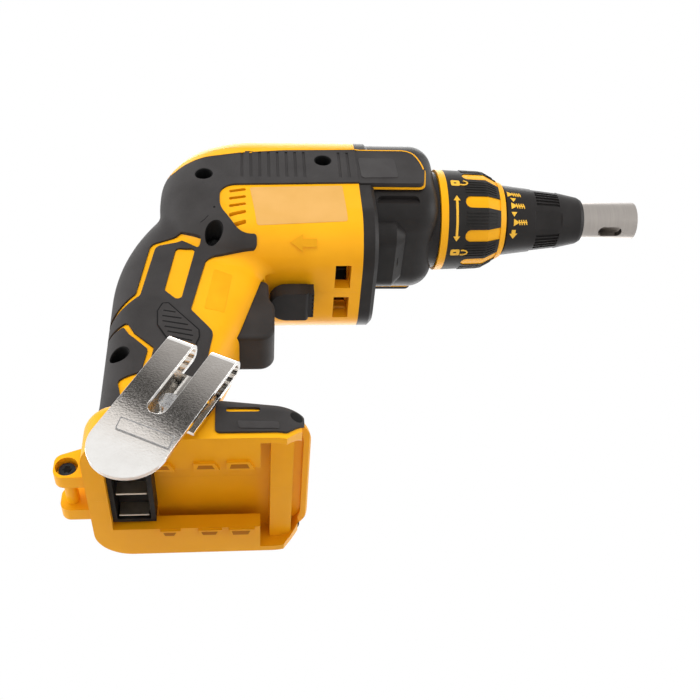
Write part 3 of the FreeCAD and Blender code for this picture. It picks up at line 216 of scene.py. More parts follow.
def from_side(tree, side):
    """Finds the point of a side face at a distance behind the flange and a height."""
    def find(distance, height):
        start = Vector((flange_x - distance * MM, side * FAR_OUT, height * MM))
        return tree.ray_cast(start, Vector((0, -side, 0)))[:2]
    return find


def from_below(tree, side):
    """Finds the point of a lower face at a distance behind the flange and out from the middle."""
    def find(distance, out):
        start = Vector((flange_x - distance * MM, side * out * MM, -FAR_OUT))
        return tree.ray_cast(start, Vector((0, 0, 1)))[:2]
    return find


def keep(name, work, made, body):
    """Turns the finished mesh into a piece that rides on its body."""
    mesh = bpy.data.meshes.new(name)
    work.to_mesh(mesh)
    work.free()
    mesh.materials.append(made)
    smooth(mesh)
    piece = bpy.data.objects.new(name, mesh)
    bpy.context.scene.collection.objects.link(piece)
    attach(piece, body)


def lay(name, outlines, find, step, top, made, body):
    """A thin piece: flat outlines cut in steps, laid on a surface, sunk in it and standing out by top."""
    work = bmesh.new()
    for outline in outlines:
        work.faces.new([work.verts.new((u, v, 0)) for u, v in outline])
    bmesh.ops.triangulate(work, faces=work.faces[:])
    for axis in (0, 1):
        places = [p[axis] for outline in outlines for p in outline]
        low, high = min(places), max(places)
        cuts = int((high - low) / step)
        for i in range(cuts):
            spot, way = [0, 0, 0], [0, 0, 0]
            spot[axis] = low + (high - low) * (i + 1) / (cuts + 1)
            way[axis] = 1
            everything = work.verts[:] + work.edges[:] + work.faces[:]
            bmesh.ops.bisect_plane(work, geom=everything, plane_co=spot, plane_no=way, dist=CUT_MERGE)
    grown = bmesh.ops.extrude_face_region(work, geom=work.faces[:])["geom"]
    upper = {item for item in grown if isinstance(item, bmesh.types.BMVert)}
    for vert in work.verts:
        point, normal = find(vert.co.x, vert.co.y)
        vert.co = point + normal * (top if vert in upper else -SINK) * MM
    bmesh.ops.recalc_face_normals(work, faces=work.faces[:])
    keep(name, work, made, body)


def eased(corners, radius):
    """The outline with its corners rounded."""
    outline = []
    for i, corner in enumerate(corners):
        here = Vector(corner)
        before = here + (Vector(corners[i - 1]) - here).normalized() * radius
        after = here + (Vector(corners[(i + 1) % len(corners)]) - here).normalized() * radius
        for k in range(CORNER_STEPS + 1):
            t = k / CORNER_STEPS
            outline.append(((1 - t) ** 2 * before + 2 * t * (1 - t) * here + t * t * after)[:])
    return outline


yellow = surface("yellow_nylon", dark=(0.86, 0.385, 0.004), light=(0.92, 0.43, 0.007), patch=45,
                 rough=(0.32, 0.44), grain=2600, relief=8e-6)
plate_yellow = surface("plate_film", dark=(0.65, 0.355, 0.09), light=(0.70, 0.39, 0.115), patch=60,
                       rough=(0.5, 0.58), grain=2000, relief=3e-6)
pad_yellow = surface("textured_yellow", dark=(0.74, 0.335, 0.004), light=(0.81, 0.38, 0.006), patch=70,
                     rough=(0.5, 0.62), grain=3000, relief=6e-5)
# Dark orange for the stops' pockets: painted shade in the hollows.
pocket_shade_yellow = surface("pocket_shade_yellow", dark=(0.40, 0.14, 0.001), light=(0.50, 0.18, 0.002), patch=70,
                        rough=(0.6, 0.7), grain=2600, relief=1e-5)
dress(["housing_right", "housing_left"], yellow)
HALF = {RIGHT: skin("housing_right"), LEFT: skin("housing_left")}
right_find = from_side(HALF[RIGHT], RIGHT)
PLATE = [(53.6, -19.5), (8.4, -17.6), (7.3, -43.2), (50.4, -45.4)]
lay("rating_plate", [eased(PLATE, radius=1.5)], right_find, step=3.0, top=0.12, made=plate_yellow,
    body="housing")
THUMB_PAD = [(70.3, -61.8), (62.0, -66.0), (65.4, -90.6), (74.3, -88.0)]
lay("thumb_pad", [eased(THUMB_PAD, radius=1.0)], right_find, step=2.0, top=0.10, made=pad_yellow,
    body="housing")
ARROW_HEAD = [(28.9, -54.3), (34.9, -51.6), (28.9, -48.9)]
ARROW_SHAFT = [(28.9, -50.5), (22.2, -50.5), (22.4, -53.0), (28.9, -53.0)]
ARROW = ARROW_HEAD[1:] + ARROW_SHAFT + ARROW_HEAD[:1]
lay("turn_arrow", [ARROW], right_find, step=1.5, top=0.6, made=pad_yellow,
    body="housing")
RAIL_EDGE = 20.3
STOPS = [(91.5, 84.0, 4.2), (76.0, 67.0, 4.2), (63.5, 53.6, 4.6)]
STOP_LEAN_OUT, STOP_LEAN_IN = 1.2, 0.8
POCKET_WALL = 1.0
POCKET_REAR_IN, POCKET_REAR_OUT = 1.2, 1.8
POCKET_FRONT_IN, POCKET_FRONT_OUT = 1.0, 2.0
for side, word in SIDES:
    find = from_below(HALF[side], side)
    blocks, pocket_shades = [], []
    for rear, front, width in STOPS:
        edge = RAIL_EDGE + width
        blocks.append([(rear, RAIL_EDGE), (rear, edge), (front + STOP_LEAN_OUT, edge),
                       (front - STOP_LEAN_IN, RAIL_EDGE)])
        pocket_shades.append([(rear - POCKET_REAR_IN, RAIL_EDGE + POCKET_WALL),
                        (rear - POCKET_REAR_OUT, edge - POCKET_WALL),
                        (front + POCKET_FRONT_OUT, edge - POCKET_WALL),
                        (front + POCKET_FRONT_IN, RAIL_EDGE + POCKET_WALL)])
    lay(f"rail_stops_{word}", blocks, find, step=4.0, top=1.2, made=yellow,
        body="housing")
    # The pockets are dark orange patches standing just above the stops: painted shade.
    lay(f"rail_pocket_shades_{word}", pocket_shades, find, step=4.0, top=1.24, made=pocket_shade_yellow,
        body="housing")

# Rubber overmould: soft dark grey thermoplastic rubber with a matt fine texture, moulded over the halves. The
# palm pads are grooved inside a grooved outline, and the tongues and bumpers carry bare raised panels. The
# grooves, the outline, the pin hole and the bumper's pocket are near black strokes and dots laid over the
# rubber: painted shade in the hollows. The housing's yellow shows as a strip along the rubber's top and as a
# trim round the tongues.
DISC_POINTS = 24


def bar(start, end, width):
    """Outline of a straight stroke."""
    start, end = Vector(start), Vector(end)
    off = (end - start).orthogonal().normalized() * width / 2
    return [(start + off)[:], (end + off)[:], (end - off)[:], (start - off)[:]]


def ribbon(path, width):
    """Outline of a stroke along a bent path."""
    points = [Vector(place) for place in path]
    offsets = []
    for i in range(len(points)):
        ahead = points[min(i + 1, len(points) - 1)] - points[max(i - 1, 0)]
        offsets.append(ahead.orthogonal().normalized() * width / 2)
    there = [(point + off)[:] for point, off in zip(points, offsets)]
    back = [(point - off)[:] for point, off in zip(points, offsets)]
    return there + back[::-1]


def border(corners, width):
    """Outlines of the strokes round a closed figure."""
    return [bar(corners[i - 1], corners[i], width) for i in range(len(corners))]


def disc(u, v, radius):
    """Outline of a round dot."""
    turns = [2 * math.pi * i / DISC_POINTS for i in range(DISC_POINTS)]
    return [(u + radius * math.cos(a), v + radius * math.sin(a)) for a in turns]


rubber = surface("grip_rubber", dark=(0.029, 0.0265, 0.026), light=(0.041, 0.038, 0.0375), patch=70,
                 rough=(0.55, 0.7), grain=2400, relief=2.5e-5)
# Near black for the pads' grooves and outline, the pin hole, the bumper's pocket, the screw recesses and the
# star sockets, which is painted shade there, and for the rubber's dark seam line.
seam_and_shade_dark = surface("groove_shadow", dark=(0.004, 0.004, 0.004), light=(0.008, 0.008, 0.008), patch=200,
                      rough=(0.7, 0.85), grain=2400, relief=1e-5)
panel_rubber = surface("panel_rubber", dark=(0.034, 0.031, 0.031), light=(0.047, 0.044, 0.043), patch=90,
                       rough=(0.42, 0.52), grain=1800, relief=8e-6)
dress(["grip_right", "grip_left", "foot_bumper_right", "foot_bumper_left"], rubber)
COVER = {RIGHT: skin("grip_right"), LEFT: skin("grip_left")}
BUMPER = {RIGHT: skin("foot_bumper_right"), LEFT: skin("foot_bumper_left")}
STRIP_BELOW = [(0.5, 11.6), (7.5, 11.3), (36.5, 10.4), (58.2, 8.0), (76.0, 4.0), (85.3, 0.6), (90.5, -1.2)]
STRIP_ABOVE = [(94.6, -0.1), (91.8, 1.1), (85.3, 3.9), (76.0, 7.9), (67.0, 11.5), (58.2, 12.4), (0.5, 12.4)]
TRIM_PATH = [(0.5, 12.0), (-24.5, 12.0), (-27.0, 11.3), (-28.8, 10.2), (-30.2, 8.7), (-31.2, 6.7),
             (-32.0, 4.4), (-32.8, 1.8), (-33.3, -0.5), (-33.6, -2.2), (-33.7, -4.0)]
PALM_PAD = [(94.7, -90.9), (92.8, -86.0), (90.2, -85.7), (76.2, -102.9), (75.9, -107.2), (78.7, -116.0),
            (82.0, -118.4), (84.5, -117.4), (94.2, -99.6)]
PALM_GROOVES = [
    ((92.1, -90.6), (86.8, -91.8)), ((92.4, -94.0), (84.0, -95.7)), ((92.2, -97.2), (81.0, -99.8)),
    ((91.1, -100.6), (79.2, -103.4)), ((89.7, -103.7), (78.6, -106.5)), ((87.9, -106.9), (78.9, -109.6)),
    ((86.4, -110.0), (79.8, -112.6)),
]
SEAM = [(76.9, -40.4), (75.0, -39.9), (73.2, -38.6)]
PIN_HOLE = (70.4, -34.8)
TONGUE_PANEL = [(-1.0, 4.8), (-19.5, 4.4), (-20.3, -11.2), (-1.8, -11.6)]
BUMPER_PANEL = [(59.2, -170.4), (43.6, -171.2), (43.4, -174.4), (58.6, -173.9)]
BUMPER_POCKET = (36.6, -166.6)
for side, word in SIDES:
    find = from_side(COVER[side], side)
    lay(f"top_strip_{word}", [STRIP_BELOW + STRIP_ABOVE], find, step=3.0, top=0.12, made=yellow,
        body="housing")
    lay(f"tongue_trim_{word}", [ribbon(TRIM_PATH, width=0.7)], find, step=3.0, top=0.12, made=yellow,
        body="housing")
    lay(f"palm_pad_{word}", [eased(PALM_PAD, radius=0.8)], find, step=3.0, top=0.35, made=rubber,
        body="housing")
    # The pad's outline and grooves are near black strokes standing just above the pad: painted shade.
    lay(f"palm_outline_shade_{word}", border(PALM_PAD, width=0.55), find, step=3.0, top=0.37, made=seam_and_shade_dark,
        body="housing")
    strokes = [bar(start, end, width=0.75) for start, end in PALM_GROOVES]
    lay(f"palm_groove_shades_{word}", strokes, find, step=3.0, top=0.38, made=seam_and_shade_dark,
        body="housing")
    # The seam is a dark joint line. The pin hole is a near black dot of painted shade.
    strokes = [bar(start, end, width=0.35) for start, end in zip(SEAM, SEAM[1:])]
    strokes.append(disc(*PIN_HOLE, radius=0.55))
    lay(f"cover_seam_{word}", strokes, find, step=2.0, top=0.03, made=seam_and_shade_dark,
        body="housing")
    lay(f"tongue_panel_{word}", [eased(TONGUE_PANEL, radius=2.0)], find, step=3.0, top=0.25,
        made=panel_rubber, body="housing")
    find = from_side(BUMPER[side], side)
    lay(f"bumper_badge_{word}", [eased(BUMPER_PANEL, radius=0.8)], find, step=2.0, top=0.25,
        made=panel_rubber, body="housing")
# The bumper's pocket is a near black disc: painted shade in the hollow.
lay("bumper_pocket_shade", [disc(*BUMPER_POCKET, radius=2.4)], from_side(BUMPER[RIGHT], RIGHT), step=1.5, top=0.04,
    made=seam_and_shade_dark, body="housing")

# Housing screws: black oxide steel screws with star sockets that draw the two halves together. They sit at
# the bottom of deep round recesses that the rubber lines, and the last one is in the lanyard lug. The
# linings are drawn near black, as painted shade in the recesses, and the star sockets are near black marks
# of painted shade.
LINED_SCREWS = [(75.9, -9.9), (70.5, -45.9), (16.9, 2.0), (109.4, -115.6)]
LUG_SCREW = (125.5, -171.0)
RECESS_RADIUS = 4.38
LINING_WALL = 0.35
LINING_FLOOR = 3.25
LINING_DEEPER = 1.2
LINING_POINTS = 48
RIM_OUT = 0.5
RIM_SINK = 0.2
STAR_RADIUS = 1.55
STAR_WAVE = 0.38
STAR_TIPS = 6
STAR_POINTS = 36
black_oxide = surface("black_oxide", dark=(0.03, 0.03, 0.032), light=(0.06, 0.06, 0.062), patch=500,
                      rough=(0.3, 0.45), grain=1800, relief=1e-5, metal=1.0)
dress(["housing_screws"], black_oxide)
head_find = from_side(skin("housing_screws"), RIGHT)


def lining(name, distance, height, find):
    """A thin near black cup in a screw recess, painted shade, with its rim just below the surface around it.
    """
    work = bmesh.new()
    floor_y = head_find(distance, height)[0].y + LINING_DEEPER * MM
    inner = RECESS_RADIUS - LINING_WALL
    look = RECESS_RADIUS + RIM_OUT
    rows = []
    for i in range(LINING_POINTS):
        angle = 2 * math.pi * i / LINING_POINTS
        u, v = math.cos(angle), math.sin(angle)
        rim_y = find(distance + look * u, height + look * v)[0].y + RIM_SINK * MM
        profile = ((RECESS_RADIUS, floor_y), (RECESS_RADIUS, rim_y), (inner, rim_y + RIM_SINK * MM),
                   (inner, floor_y), (LINING_FLOOR, floor_y))
        column = []
        for radius, y in profile:
            x = flange_x - (distance + radius * u) * MM
            z = (height + radius * v) * MM
            column.append(work.verts.new((x, y, z)))
        rows.append(column)
    for i, column in enumerate(rows):
        ahead = rows[(i + 1) % len(rows)]
        for k in range(len(column) - 1):
            work.faces.new((column[k], column[k + 1], ahead[k + 1], ahead[k]))
    bmesh.ops.recalc_face_normals(work, faces=work.faces[:])
    keep(name, work, seam_and_shade_dark, "housing")


def star(distance, height):
    """Outline of a star socket."""
    outline = []
    for i in range(STAR_POINTS):
        angle = 2 * math.pi * i / STAR_POINTS
        radius = STAR_RADIUS + STAR_WAVE * math.cos(STAR_TIPS * angle)
        outline.append((distance + radius * math.cos(angle), height + radius * math.sin(angle)))
    return outline


rim_find = from_side(skin("housing_right", "grip_right"), RIGHT)
for number, (distance, height) in enumerate(LINED_SCREWS, start=1):
    lining(f"recess_shade_lining_{number}", distance, height, rim_find)
# The star sockets are near black marks: painted shade in the sockets.
for number, (distance, height) in enumerate(LINED_SCREWS + [LUG_SCREW], start=1):
    lay(f"star_socket_shade_{number}", [star(distance, height)], head_find, step=2.0, top=0.03, made=seam_and_shade_dark,
        body="housing")

# Trigger, reverse lever and trigger lock: controls moulded from dark nylon. The trigger and the lock button
# slide in the handle, and the lever swings on a pin between the halves.
control_resin = surface("control_resin", dark=(0.021, 0.019, 0.018), light=(0.031, 0.028, 0.027), patch=80,
                        rough=(0.42, 0.55), grain=2000, relief=1.5e-5)
dress(["trigger"], control_resin)
dress(["reverse_lever", "lock_button"], case_nylon)

# Lock collar: a yellow moulded ring with a dark soft cover between its fingers. The cover is finely ribbed
# and printed with an open lock, a closed lock and a two headed arrow. Places are in millimetres along the
# spindle axis and round the collar, and turns are in degrees from the right side downwards.
COLLAR_REACH = 26.0
FINGER_COUNT = 9
FINGER_START = 30.0
RIB_TURNS = (-7.5, -3.8, 0.0, 3.8, 7.5)
RIB_REAR, RIB_FRONT = -96.5, -79.5
RIB_WIDTH = 0.8
collar_rubber = surface("collar_rubber", dark=(0.013, 0.012, 0.011), light=(0.021, 0.019, 0.018), patch=90,
                        rough=(0.5, 0.62), grain=2200, relief=2e-5)
sign_yellow = surface("sign_paint", dark=(0.84, 0.46, 0.04), light=(0.91, 0.52, 0.06), patch=120,
                      rough=(0.4, 0.5), grain=2000, relief=3e-6)
dress(["lock_collar"], yellow)
dress(["lock_collar_grip"], collar_rubber)


def round_nose(tree, turn, reach):
    """Finds the point of a round face at a place along the axis and an arc from the given turn."""
    def find(along, arc):
        angle = math.radians(turn) + arc / reach
        out = Vector((0, -math.cos(angle), -math.sin(angle)))
        return tree.ray_cast(Vector((along * MM, 0, 0)) + out * FAR_OUT, -out)[:2]
    return find


collar_skin = skin("lock_collar_grip", "lock_collar")
for gap in range(FINGER_COUNT):
    middle = FINGER_START + (gap + 0.5) * 360 / FINGER_COUNT
    ribs = []
    for turn in RIB_TURNS:
        arc = math.radians(turn) * COLLAR_REACH
        ribs.append(bar((RIB_REAR, arc), (RIB_FRONT, arc), RIB_WIDTH))
    lay(f"collar_ribs_{gap + 1}", ribs, round_nose(collar_skin, middle, COLLAR_REACH), step=2.5, top=0.35,
        made=collar_rubber, body="lock_collar")
LOCK_BODY = [(-103.8, -2.0), (-99.0, -2.0), (-99.0, 2.0), (-103.8, 2.0)]
KEYHOLE = bar((-102.2, 0), (-100.8, 0), width=0.8)
BOW_CENTRE = Vector((-97.6, 0))
BOW_LENGTH, BOW_HALF = 2.6, 1.5
BOW_STROKE = 0.75
BOW_STEPS = 8
BOW_OVERLAP = 1.2
LOCKS = (("open", 5.0, -80, 200), ("closed", 91.0, -110, 220))


def bow_point(angle):
    """A point of a lock's bow at an angle in degrees."""
    turned = math.radians(angle)
    return BOW_CENTRE + Vector((BOW_LENGTH * math.cos(turned), BOW_HALF * math.sin(turned)))


def shackle(start, spread):
    """Bow of a lock, drawn as short strokes from start degrees round through spread."""
    strokes = []
    for i in range(BOW_STEPS):
        one = bow_point(start + spread * i / BOW_STEPS)
        two = bow_point(start + spread * (i + BOW_OVERLAP) / BOW_STEPS)
        strokes.append(bar(one, two, BOW_STROKE))
    return strokes


for word, turn, start, spread in LOCKS:
    find = round_nose(collar_skin, turn, COLLAR_REACH)
    lay(f"lock_sign_{word}", [eased(LOCK_BODY, radius=1.0)], find, step=1.5, top=0.06, made=sign_yellow,
        body="lock_collar")
    lay(f"lock_bow_{word}", shackle(start, spread), find, step=1.5, top=0.42, made=sign_yellow,
        body="lock_collar")
    lay(f"lock_keyhole_{word}", [KEYHOLE], find, step=1.5, top=0.09, made=collar_rubber,
        body="lock_collar")
SIGN_TURN = 49.5
SIGN_MIDDLE = -101.5
SIGN_TIP = 12.1
SIGN_WINGS = 9.3
SIGN_WING_HALF = 1.8
SIGN_SHAFT_END = 9.7
turn_sign = []
for way in (-1, 1):
    turn_sign.append([(SIGN_MIDDLE, way * SIGN_TIP), (SIGN_MIDDLE - SIGN_WING_HALF, way * SIGN_WINGS),
                      (SIGN_MIDDLE + SIGN_WING_HALF, way * SIGN_WINGS)])
turn_sign.append(bar((SIGN_MIDDLE, -SIGN_SHAFT_END), (SIGN_MIDDLE, SIGN_SHAFT_END), width=1.3))
lay("turn_sign", turn_sign, round_nose(collar_skin, SIGN_TURN, COLLAR_REACH), step=1.5, top=0.06,
    made=sign_yellow, body="lock_collar")

# Nose: a carrier tube, the black tapered depth ring and the turned steel sleeve at the tip. The ring's rear
# band is printed with small screws driven deeper and deeper, with steps between them and an arrow.
RING_REACH = 18.0
SCREW_SIGNS = ((4.0, -72.6), (27.0, -71.2), (55.0, -70.0))
SCREW_HEAD_HALF = 1.9
SCREW_NECK_HALF = 0.6
SCREW_HEAD = 2.4
SCREW_LENGTH = 7.4
SHANK_WIDTH = 0.7
THREAD_COUNT = 4
THREAD_START = 3.1
THREAD_PITCH = 1.25
THREAD_LEAN = 0.35
THREAD_HALF = 1.35
THREAD_WIDTH = 0.6
SIGN_TOP = 0.06
SIGN_LAYER = 0.01
STEP_TURNS = (16.0, 41.5)
STEP_SIGN = [(-71.4, -1.2), (-68.2, -1.2), (-69.8, 1.3)]
DEEPER_TURN = 75.0
DEEPER_HEAD = [(-72.0, -0.4), (-67.6, -0.4), (-69.8, 2.6)]
DEEPER_SHAFT = [(-70.9, -2.4), (-68.7, -2.4), (-68.7, -0.4), (-70.9, -0.4)]
turned_steel = surface("turned_steel", dark=(0.37, 0.34, 0.315), light=(0.41, 0.377, 0.348), patch=260,
                       rough=(0.32, 0.40), grain=1400, relief=4e-6, metal=1.0, stretch=(5, 0.3, 0.3))
dress(["nose_carrier", "depth_ring"], case_nylon)
dress(["depth_locator"], turned_steel)
ring_skin = skin("depth_ring")


def screw_sign(start):
    """A countersunk screw drawn with a head, a shank and slanted threads."""
    neck = start + SCREW_HEAD
    drawn = [
        [(start, -SCREW_HEAD_HALF), (start, SCREW_HEAD_HALF),
         (neck, SCREW_NECK_HALF), (neck, -SCREW_NECK_HALF)],
        bar((neck, 0), (start + SCREW_LENGTH, 0), SHANK_WIDTH),
    ]
    for i in range(THREAD_COUNT):
        at = start + THREAD_START + THREAD_PITCH * i
        drawn.append(bar((at - THREAD_LEAN, -THREAD_HALF), (at + THREAD_LEAN, THREAD_HALF), THREAD_WIDTH))
    return drawn


for number, (turn, start) in enumerate(SCREW_SIGNS, start=1):
    find = round_nose(ring_skin, turn, RING_REACH)
    for part, outline in enumerate(screw_sign(start)):
        lay(f"depth_sign_{number}_{part + 1}", [outline], find, step=1.5, top=SIGN_TOP + SIGN_LAYER * part,
            made=sign_yellow, body="depth_ring")
for turn in STEP_TURNS:
    lay(f"depth_step_{int(turn)}", [STEP_SIGN], round_nose(ring_skin, turn, RING_REACH), step=1.5,
        top=SIGN_TOP, made=sign_yellow, body="depth_ring")
lay("depth_arrow", [DEEPER_HEAD, DEEPER_SHAFT], round_nose(ring_skin, DEEPER_TURN, RING_REACH), step=1.5,
    top=SIGN_TOP, made=sign_yellow, body="depth_ring")

# Belt hook: bent from spring steel strip and bright nickel plated, with a bare raised plate pressed in it.
# A thin dark steel line round the plate's edge is painted shade. One zinc plated screw holds it to the foot.
HOOK_PLATE = [(100.7, -176.9), (81.2, -186.5), (83.2, -191.7), (102.2, -182.0)]
nickel = surface("bright_nickel", dark=(0.83, 0.81, 0.78), light=(0.90, 0.885, 0.86), patch=120,
                 rough=(0.07, 0.12), grain=1300, relief=1.2e-5, metal=1.0)
dress(["belt_hook"], nickel)
dress(["belt_hook_screw"], zinc)
hook_find = from_side(skin("belt_hook"), RIGHT)
lay("hook_plate", [eased(HOOK_PLATE, radius=1.2)], hook_find, step=2.5, top=0.42, made=nickel,
    body="housing")
# The plate's edge line is darker steel: painted shade along the raised edge.
lay("hook_plate_edge_shade", border(HOOK_PLATE, width=0.4), hook_find, step=2.5, top=0.45, made=spring_wire,
    body="housing")

# Studio floor: a pale painted sheet just under the tool. It shows only from above, so that the tool can be
# seen and lit from below, and it fades out with distance into the white surround.
AIM = Vector((flange_x - 8.12 * MM, 0.0, -0.09596))
FLOOR_SIZE = 2.4
FLOOR_GAP = 0.001
FLOOR_PATCH = 6.0
FLOOR_DARK = (0.80, 0.80, 0.80, 1)
FLOOR_LIGHT = (0.84, 0.84, 0.84, 1)
FADE_START = 0.30
FADE_END = 0.85
floor_z = cad_low.z - FLOOR_GAP


def floor_finish():
    """Pale paint on the upper face that fades out with distance, and lets rays from below pass."""
    made, new, link = blank("floor_paint")
    out = new("ShaderNodeOutputMaterial")
    paint = new("ShaderNodeBsdfDiffuse")
    clear = new("ShaderNodeBsdfTransparent")
    side = new("ShaderNodeNewGeometry")
    pick = new("ShaderNodeMixShader")
    drift = new("ShaderNodeTexNoise")
    drift.inputs["Scale"].default_value = FLOOR_PATCH
    shades = new("ShaderNodeValToRGB")
    shades.color_ramp.elements[0].color = FLOOR_DARK
    shades.color_ramp.elements[1].color = FLOOR_LIGHT
    place = new("ShaderNodeTexCoord")
    offset = new("ShaderNodeVectorMath")
    offset.operation = "DISTANCE"
    offset.inputs[1].default_value = (AIM.x, AIM.y, floor_z)
    fade = new("ShaderNodeMapRange")
    fade.inputs["From Min"].default_value = FADE_START
    fade.inputs["From Max"].default_value = FADE_END
    gone = new("ShaderNodeMath")
    gone.operation = "MAXIMUM"
    link(place.outputs["Object"], offset.inputs[0])
    link(offset.outputs["Value"], fade.inputs["Value"])
    link(fade.outputs["Result"], gone.inputs[0])
    link(side.outputs["Backfacing"], gone.inputs[1])
    link(drift.outputs["Fac"], shades.inputs["Fac"])
    link(shades.outputs["Color"], paint.inputs["Color"])
    link(gone.outputs["Value"], pick.inputs["Fac"])
    link(paint.outputs["BSDF"], pick.inputs[1])
    link(clear.outputs["BSDF"], pick.inputs[2])
    link(pick.outputs["Shader"], out.inputs["Surface"])
    return made


def sheet(name, corners, made):
    """A flat stage sheet."""
    mesh = bpy.data.meshes.new(name)
    mesh.from_pydata(corners, [], [(0, 1, 2, 3)])
    mesh.materials.append(made)
    piece = bpy.data.objects.new(name, mesh)
    bpy.context.scene.collection.objects.link(piece)
    return piece


half = FLOOR_SIZE / 2
floor_corners = [(u * half, v * half, floor_z) for u, v in ((-1, -1), (1, -1), (1, 1), (-1, 1))]
sheet("floor", floor_corners, floor_finish())

# Studio lights: rectangular soft lights on stands all round the tool. The large key light is on the tool's
# right side, hidden from the bright metal, and weaker ones fill in below, above, behind and at the ends.
LIGHTS = (
    ("key_light", (-0.10, -0.90, 0.30), 0.9, 0.5, 7.8),
    ("low_fill", (0.25, -0.55, -0.80), 0.9, 0.7, 3.5),
    ("top_light", (0.0, 0.10, 0.95), 0.9, 0.6, 5),
    ("far_light", (0.10, 0.95, 0.25), 0.9, 0.6, 4.5),
    ("front_light", (0.95, -0.10, 0.10), 0.5, 0.5, 2.6),
    ("rear_light", (-0.95, -0.10, 0.15), 0.5, 0.5, 4.2),
)
for name, place, width, height, watts in LIGHTS:
    lamp = bpy.data.lights.new(name, "AREA")
    lamp.shape = "RECTANGLE"
    lamp.size = width
    lamp.size_y = height
    lamp.energy = watts
    holder = bpy.data.objects.new(name, lamp)
    bpy.context.scene.collection.objects.link(holder)
    holder.location = AIM + Vector(place)
    holder.rotation_euler = (-Vector(place)).to_track_quat("-Z", "Y").to_euler()
    holder.visible_glossy = name != "key_light"

# Graded card: a glowing sheet that goes from pale through dark to pale along its length. It hangs at the
# tool's right side and is seen only by the bright metal that mirrors it: a painted reflection, which lays
# pale and dark bands on the bright metal.
CARD_START = AIM + Vector((-0.150, -0.437, 0.222))
CARD_END = AIM + Vector((-0.066, -0.400, 0.330))
CARD_ACROSS = Vector((0.16, -0.02, -0.08))
CARD_TONES = ((0.0, 0.95), (0.12, 0.90), (0.19, 0.05), (0.36, 0.05), (0.52, 0.30), (0.75, 0.52), (1.0, 0.70))
CARD_GREEN, CARD_BLUE = 0.95, 0.91
MIDWAY = 0.5


def reflection_card_finish():
    """Warm grey glow along the card's length, in the tones of the painted reflection."""
    made, new, link = blank("painted_reflection_card")
    out = new("ShaderNodeOutputMaterial")
    glow = new("ShaderNodeEmission")
    place = new("ShaderNodeTexCoord")
    start = new("ShaderNodeVectorMath")
    start.operation = "SUBTRACT"
    start.inputs[1].default_value = CARD_START
    along = new("ShaderNodeVectorMath")
    along.operation = "DOT_PRODUCT"
    reach = CARD_END - CARD_START
    along.inputs[1].default_value = reach / reach.length_squared
    tones = new("ShaderNodeValToRGB")
    ramp = tones.color_ramp
    while len(ramp.elements) < len(CARD_TONES):
        ramp.elements.new(MIDWAY)
    for step, (position, tone) in zip(ramp.elements, CARD_TONES):
        step.position = position
        step.color = (tone, tone * CARD_GREEN, tone * CARD_BLUE, 1)
    link(place.outputs["Object"], start.inputs[0])
    link(start.outputs["Vector"], along.inputs[0])
    link(along.outputs["Value"], tones.inputs["Fac"])
    link(tones.outputs["Color"], glow.inputs["Color"])
    link(glow.outputs["Emission"], out.inputs["Surface"])
    return made


card_corners = [CARD_START - CARD_ACROSS, CARD_START + CARD_ACROSS,
                CARD_END + CARD_ACROSS, CARD_END - CARD_ACROSS]
card = sheet("painted_reflection_card", [corner[:] for corner in card_corners], reflection_card_finish())
card.visible_camera = False
card.visible_diffuse = False
card.visible_shadow = False
card.visible_transmission = False

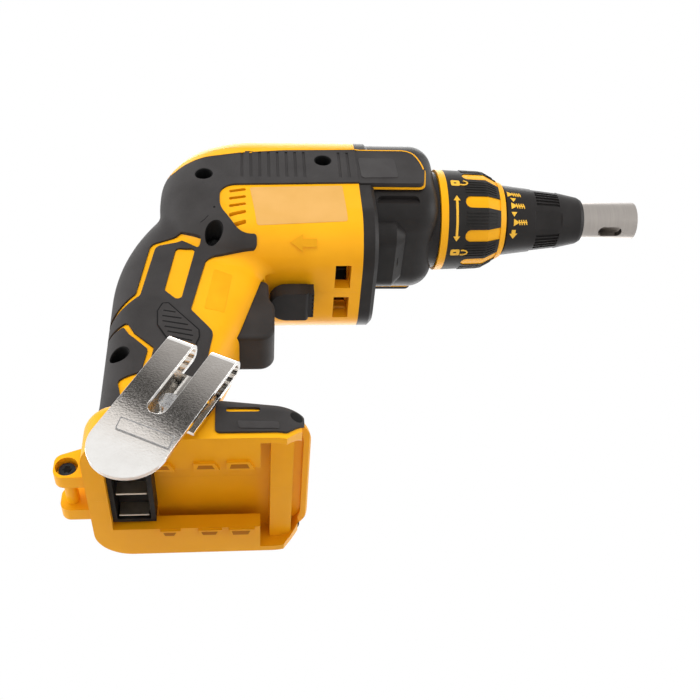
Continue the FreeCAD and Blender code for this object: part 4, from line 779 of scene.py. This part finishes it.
# White surround: an even white room round the tool. The camera, mirrors and clear pieces see it white, and
# it lights the tool with less than that.
WHITE = (1, 1, 1, 1)
SEEN_STRENGTH = 1.0
LIT_STRENGTH = 0.30
world = bpy.data.worlds.new("white_room")
bpy.context.scene.world = world
world.use_nodes = True
world.node_tree.nodes.clear()
new, link = world.node_tree.nodes.new, world.node_tree.links.new
sky_out = new("ShaderNodeOutputWorld")
seen = new("ShaderNodeBackground")
seen.inputs["Color"].default_value = WHITE
seen.inputs["Strength"].default_value = SEEN_STRENGTH
lit = new("ShaderNodeBackground")
lit.inputs["Color"].default_value = WHITE
lit.inputs["Strength"].default_value = LIT_STRENGTH
rays = new("ShaderNodeLightPath")
straight = new("ShaderNodeMath")
straight.operation = "MAXIMUM"
any_seen = new("ShaderNodeMath")
any_seen.operation = "MAXIMUM"
choose = new("ShaderNodeMixShader")
link(rays.outputs["Is Camera Ray"], straight.inputs[0])
link(rays.outputs["Is Transmission Ray"], straight.inputs[1])
link(straight.outputs["Value"], any_seen.inputs[0])
link(rays.outputs["Is Glossy Ray"], any_seen.inputs[1])
link(any_seen.outputs["Value"], choose.inputs["Fac"])
link(lit.outputs["Background"], choose.inputs[1])
link(seen.outputs["Background"], choose.inputs[2])
link(choose.outputs["Shader"], sky_out.inputs["Surface"])

# Camera: a normal lens a little under half a metre away, looking up at the tool's right side from below its
# foot. It is rolled a few degrees, so that the spindle lies level in the picture.
CAMERA_TURN = math.radians(-8.0)
CAMERA_RISE = math.radians(43.62)
CAMERA_ROLL = math.radians(-6.0)
CAMERA_DISTANCE = 0.4604
CAMERA_LENS = 51.20
CAMERA_SENSOR = 36.0
CAMERA_NEAR, CAMERA_FAR = 0.01, 20.0
look = Vector((
    -math.sin(CAMERA_TURN) * math.cos(CAMERA_RISE),
    math.cos(CAMERA_TURN) * math.cos(CAMERA_RISE),
    math.sin(CAMERA_RISE),
))
level = Vector((math.cos(CAMERA_TURN), math.sin(CAMERA_TURN), 0))
upward = level.cross(look)
across = math.cos(CAMERA_ROLL) * level + math.sin(CAMERA_ROLL) * upward
above = -math.sin(CAMERA_ROLL) * level + math.cos(CAMERA_ROLL) * upward
eye = bpy.data.cameras.new("camera")
eye.lens = CAMERA_LENS
eye.sensor_width = CAMERA_SENSOR
eye.clip_start = CAMERA_NEAR
eye.clip_end = CAMERA_FAR
camera = bpy.data.objects.new("camera", eye)
bpy.context.scene.collection.objects.link(camera)
facing = Matrix((across, above, -look)).transposed().to_4x4()
camera.matrix_world = Matrix.Translation(AIM - look * CAMERA_DISTANCE) @ facing
bpy.context.scene.camera = camera
bpy.context.scene.view_settings.view_transform = "Standard"
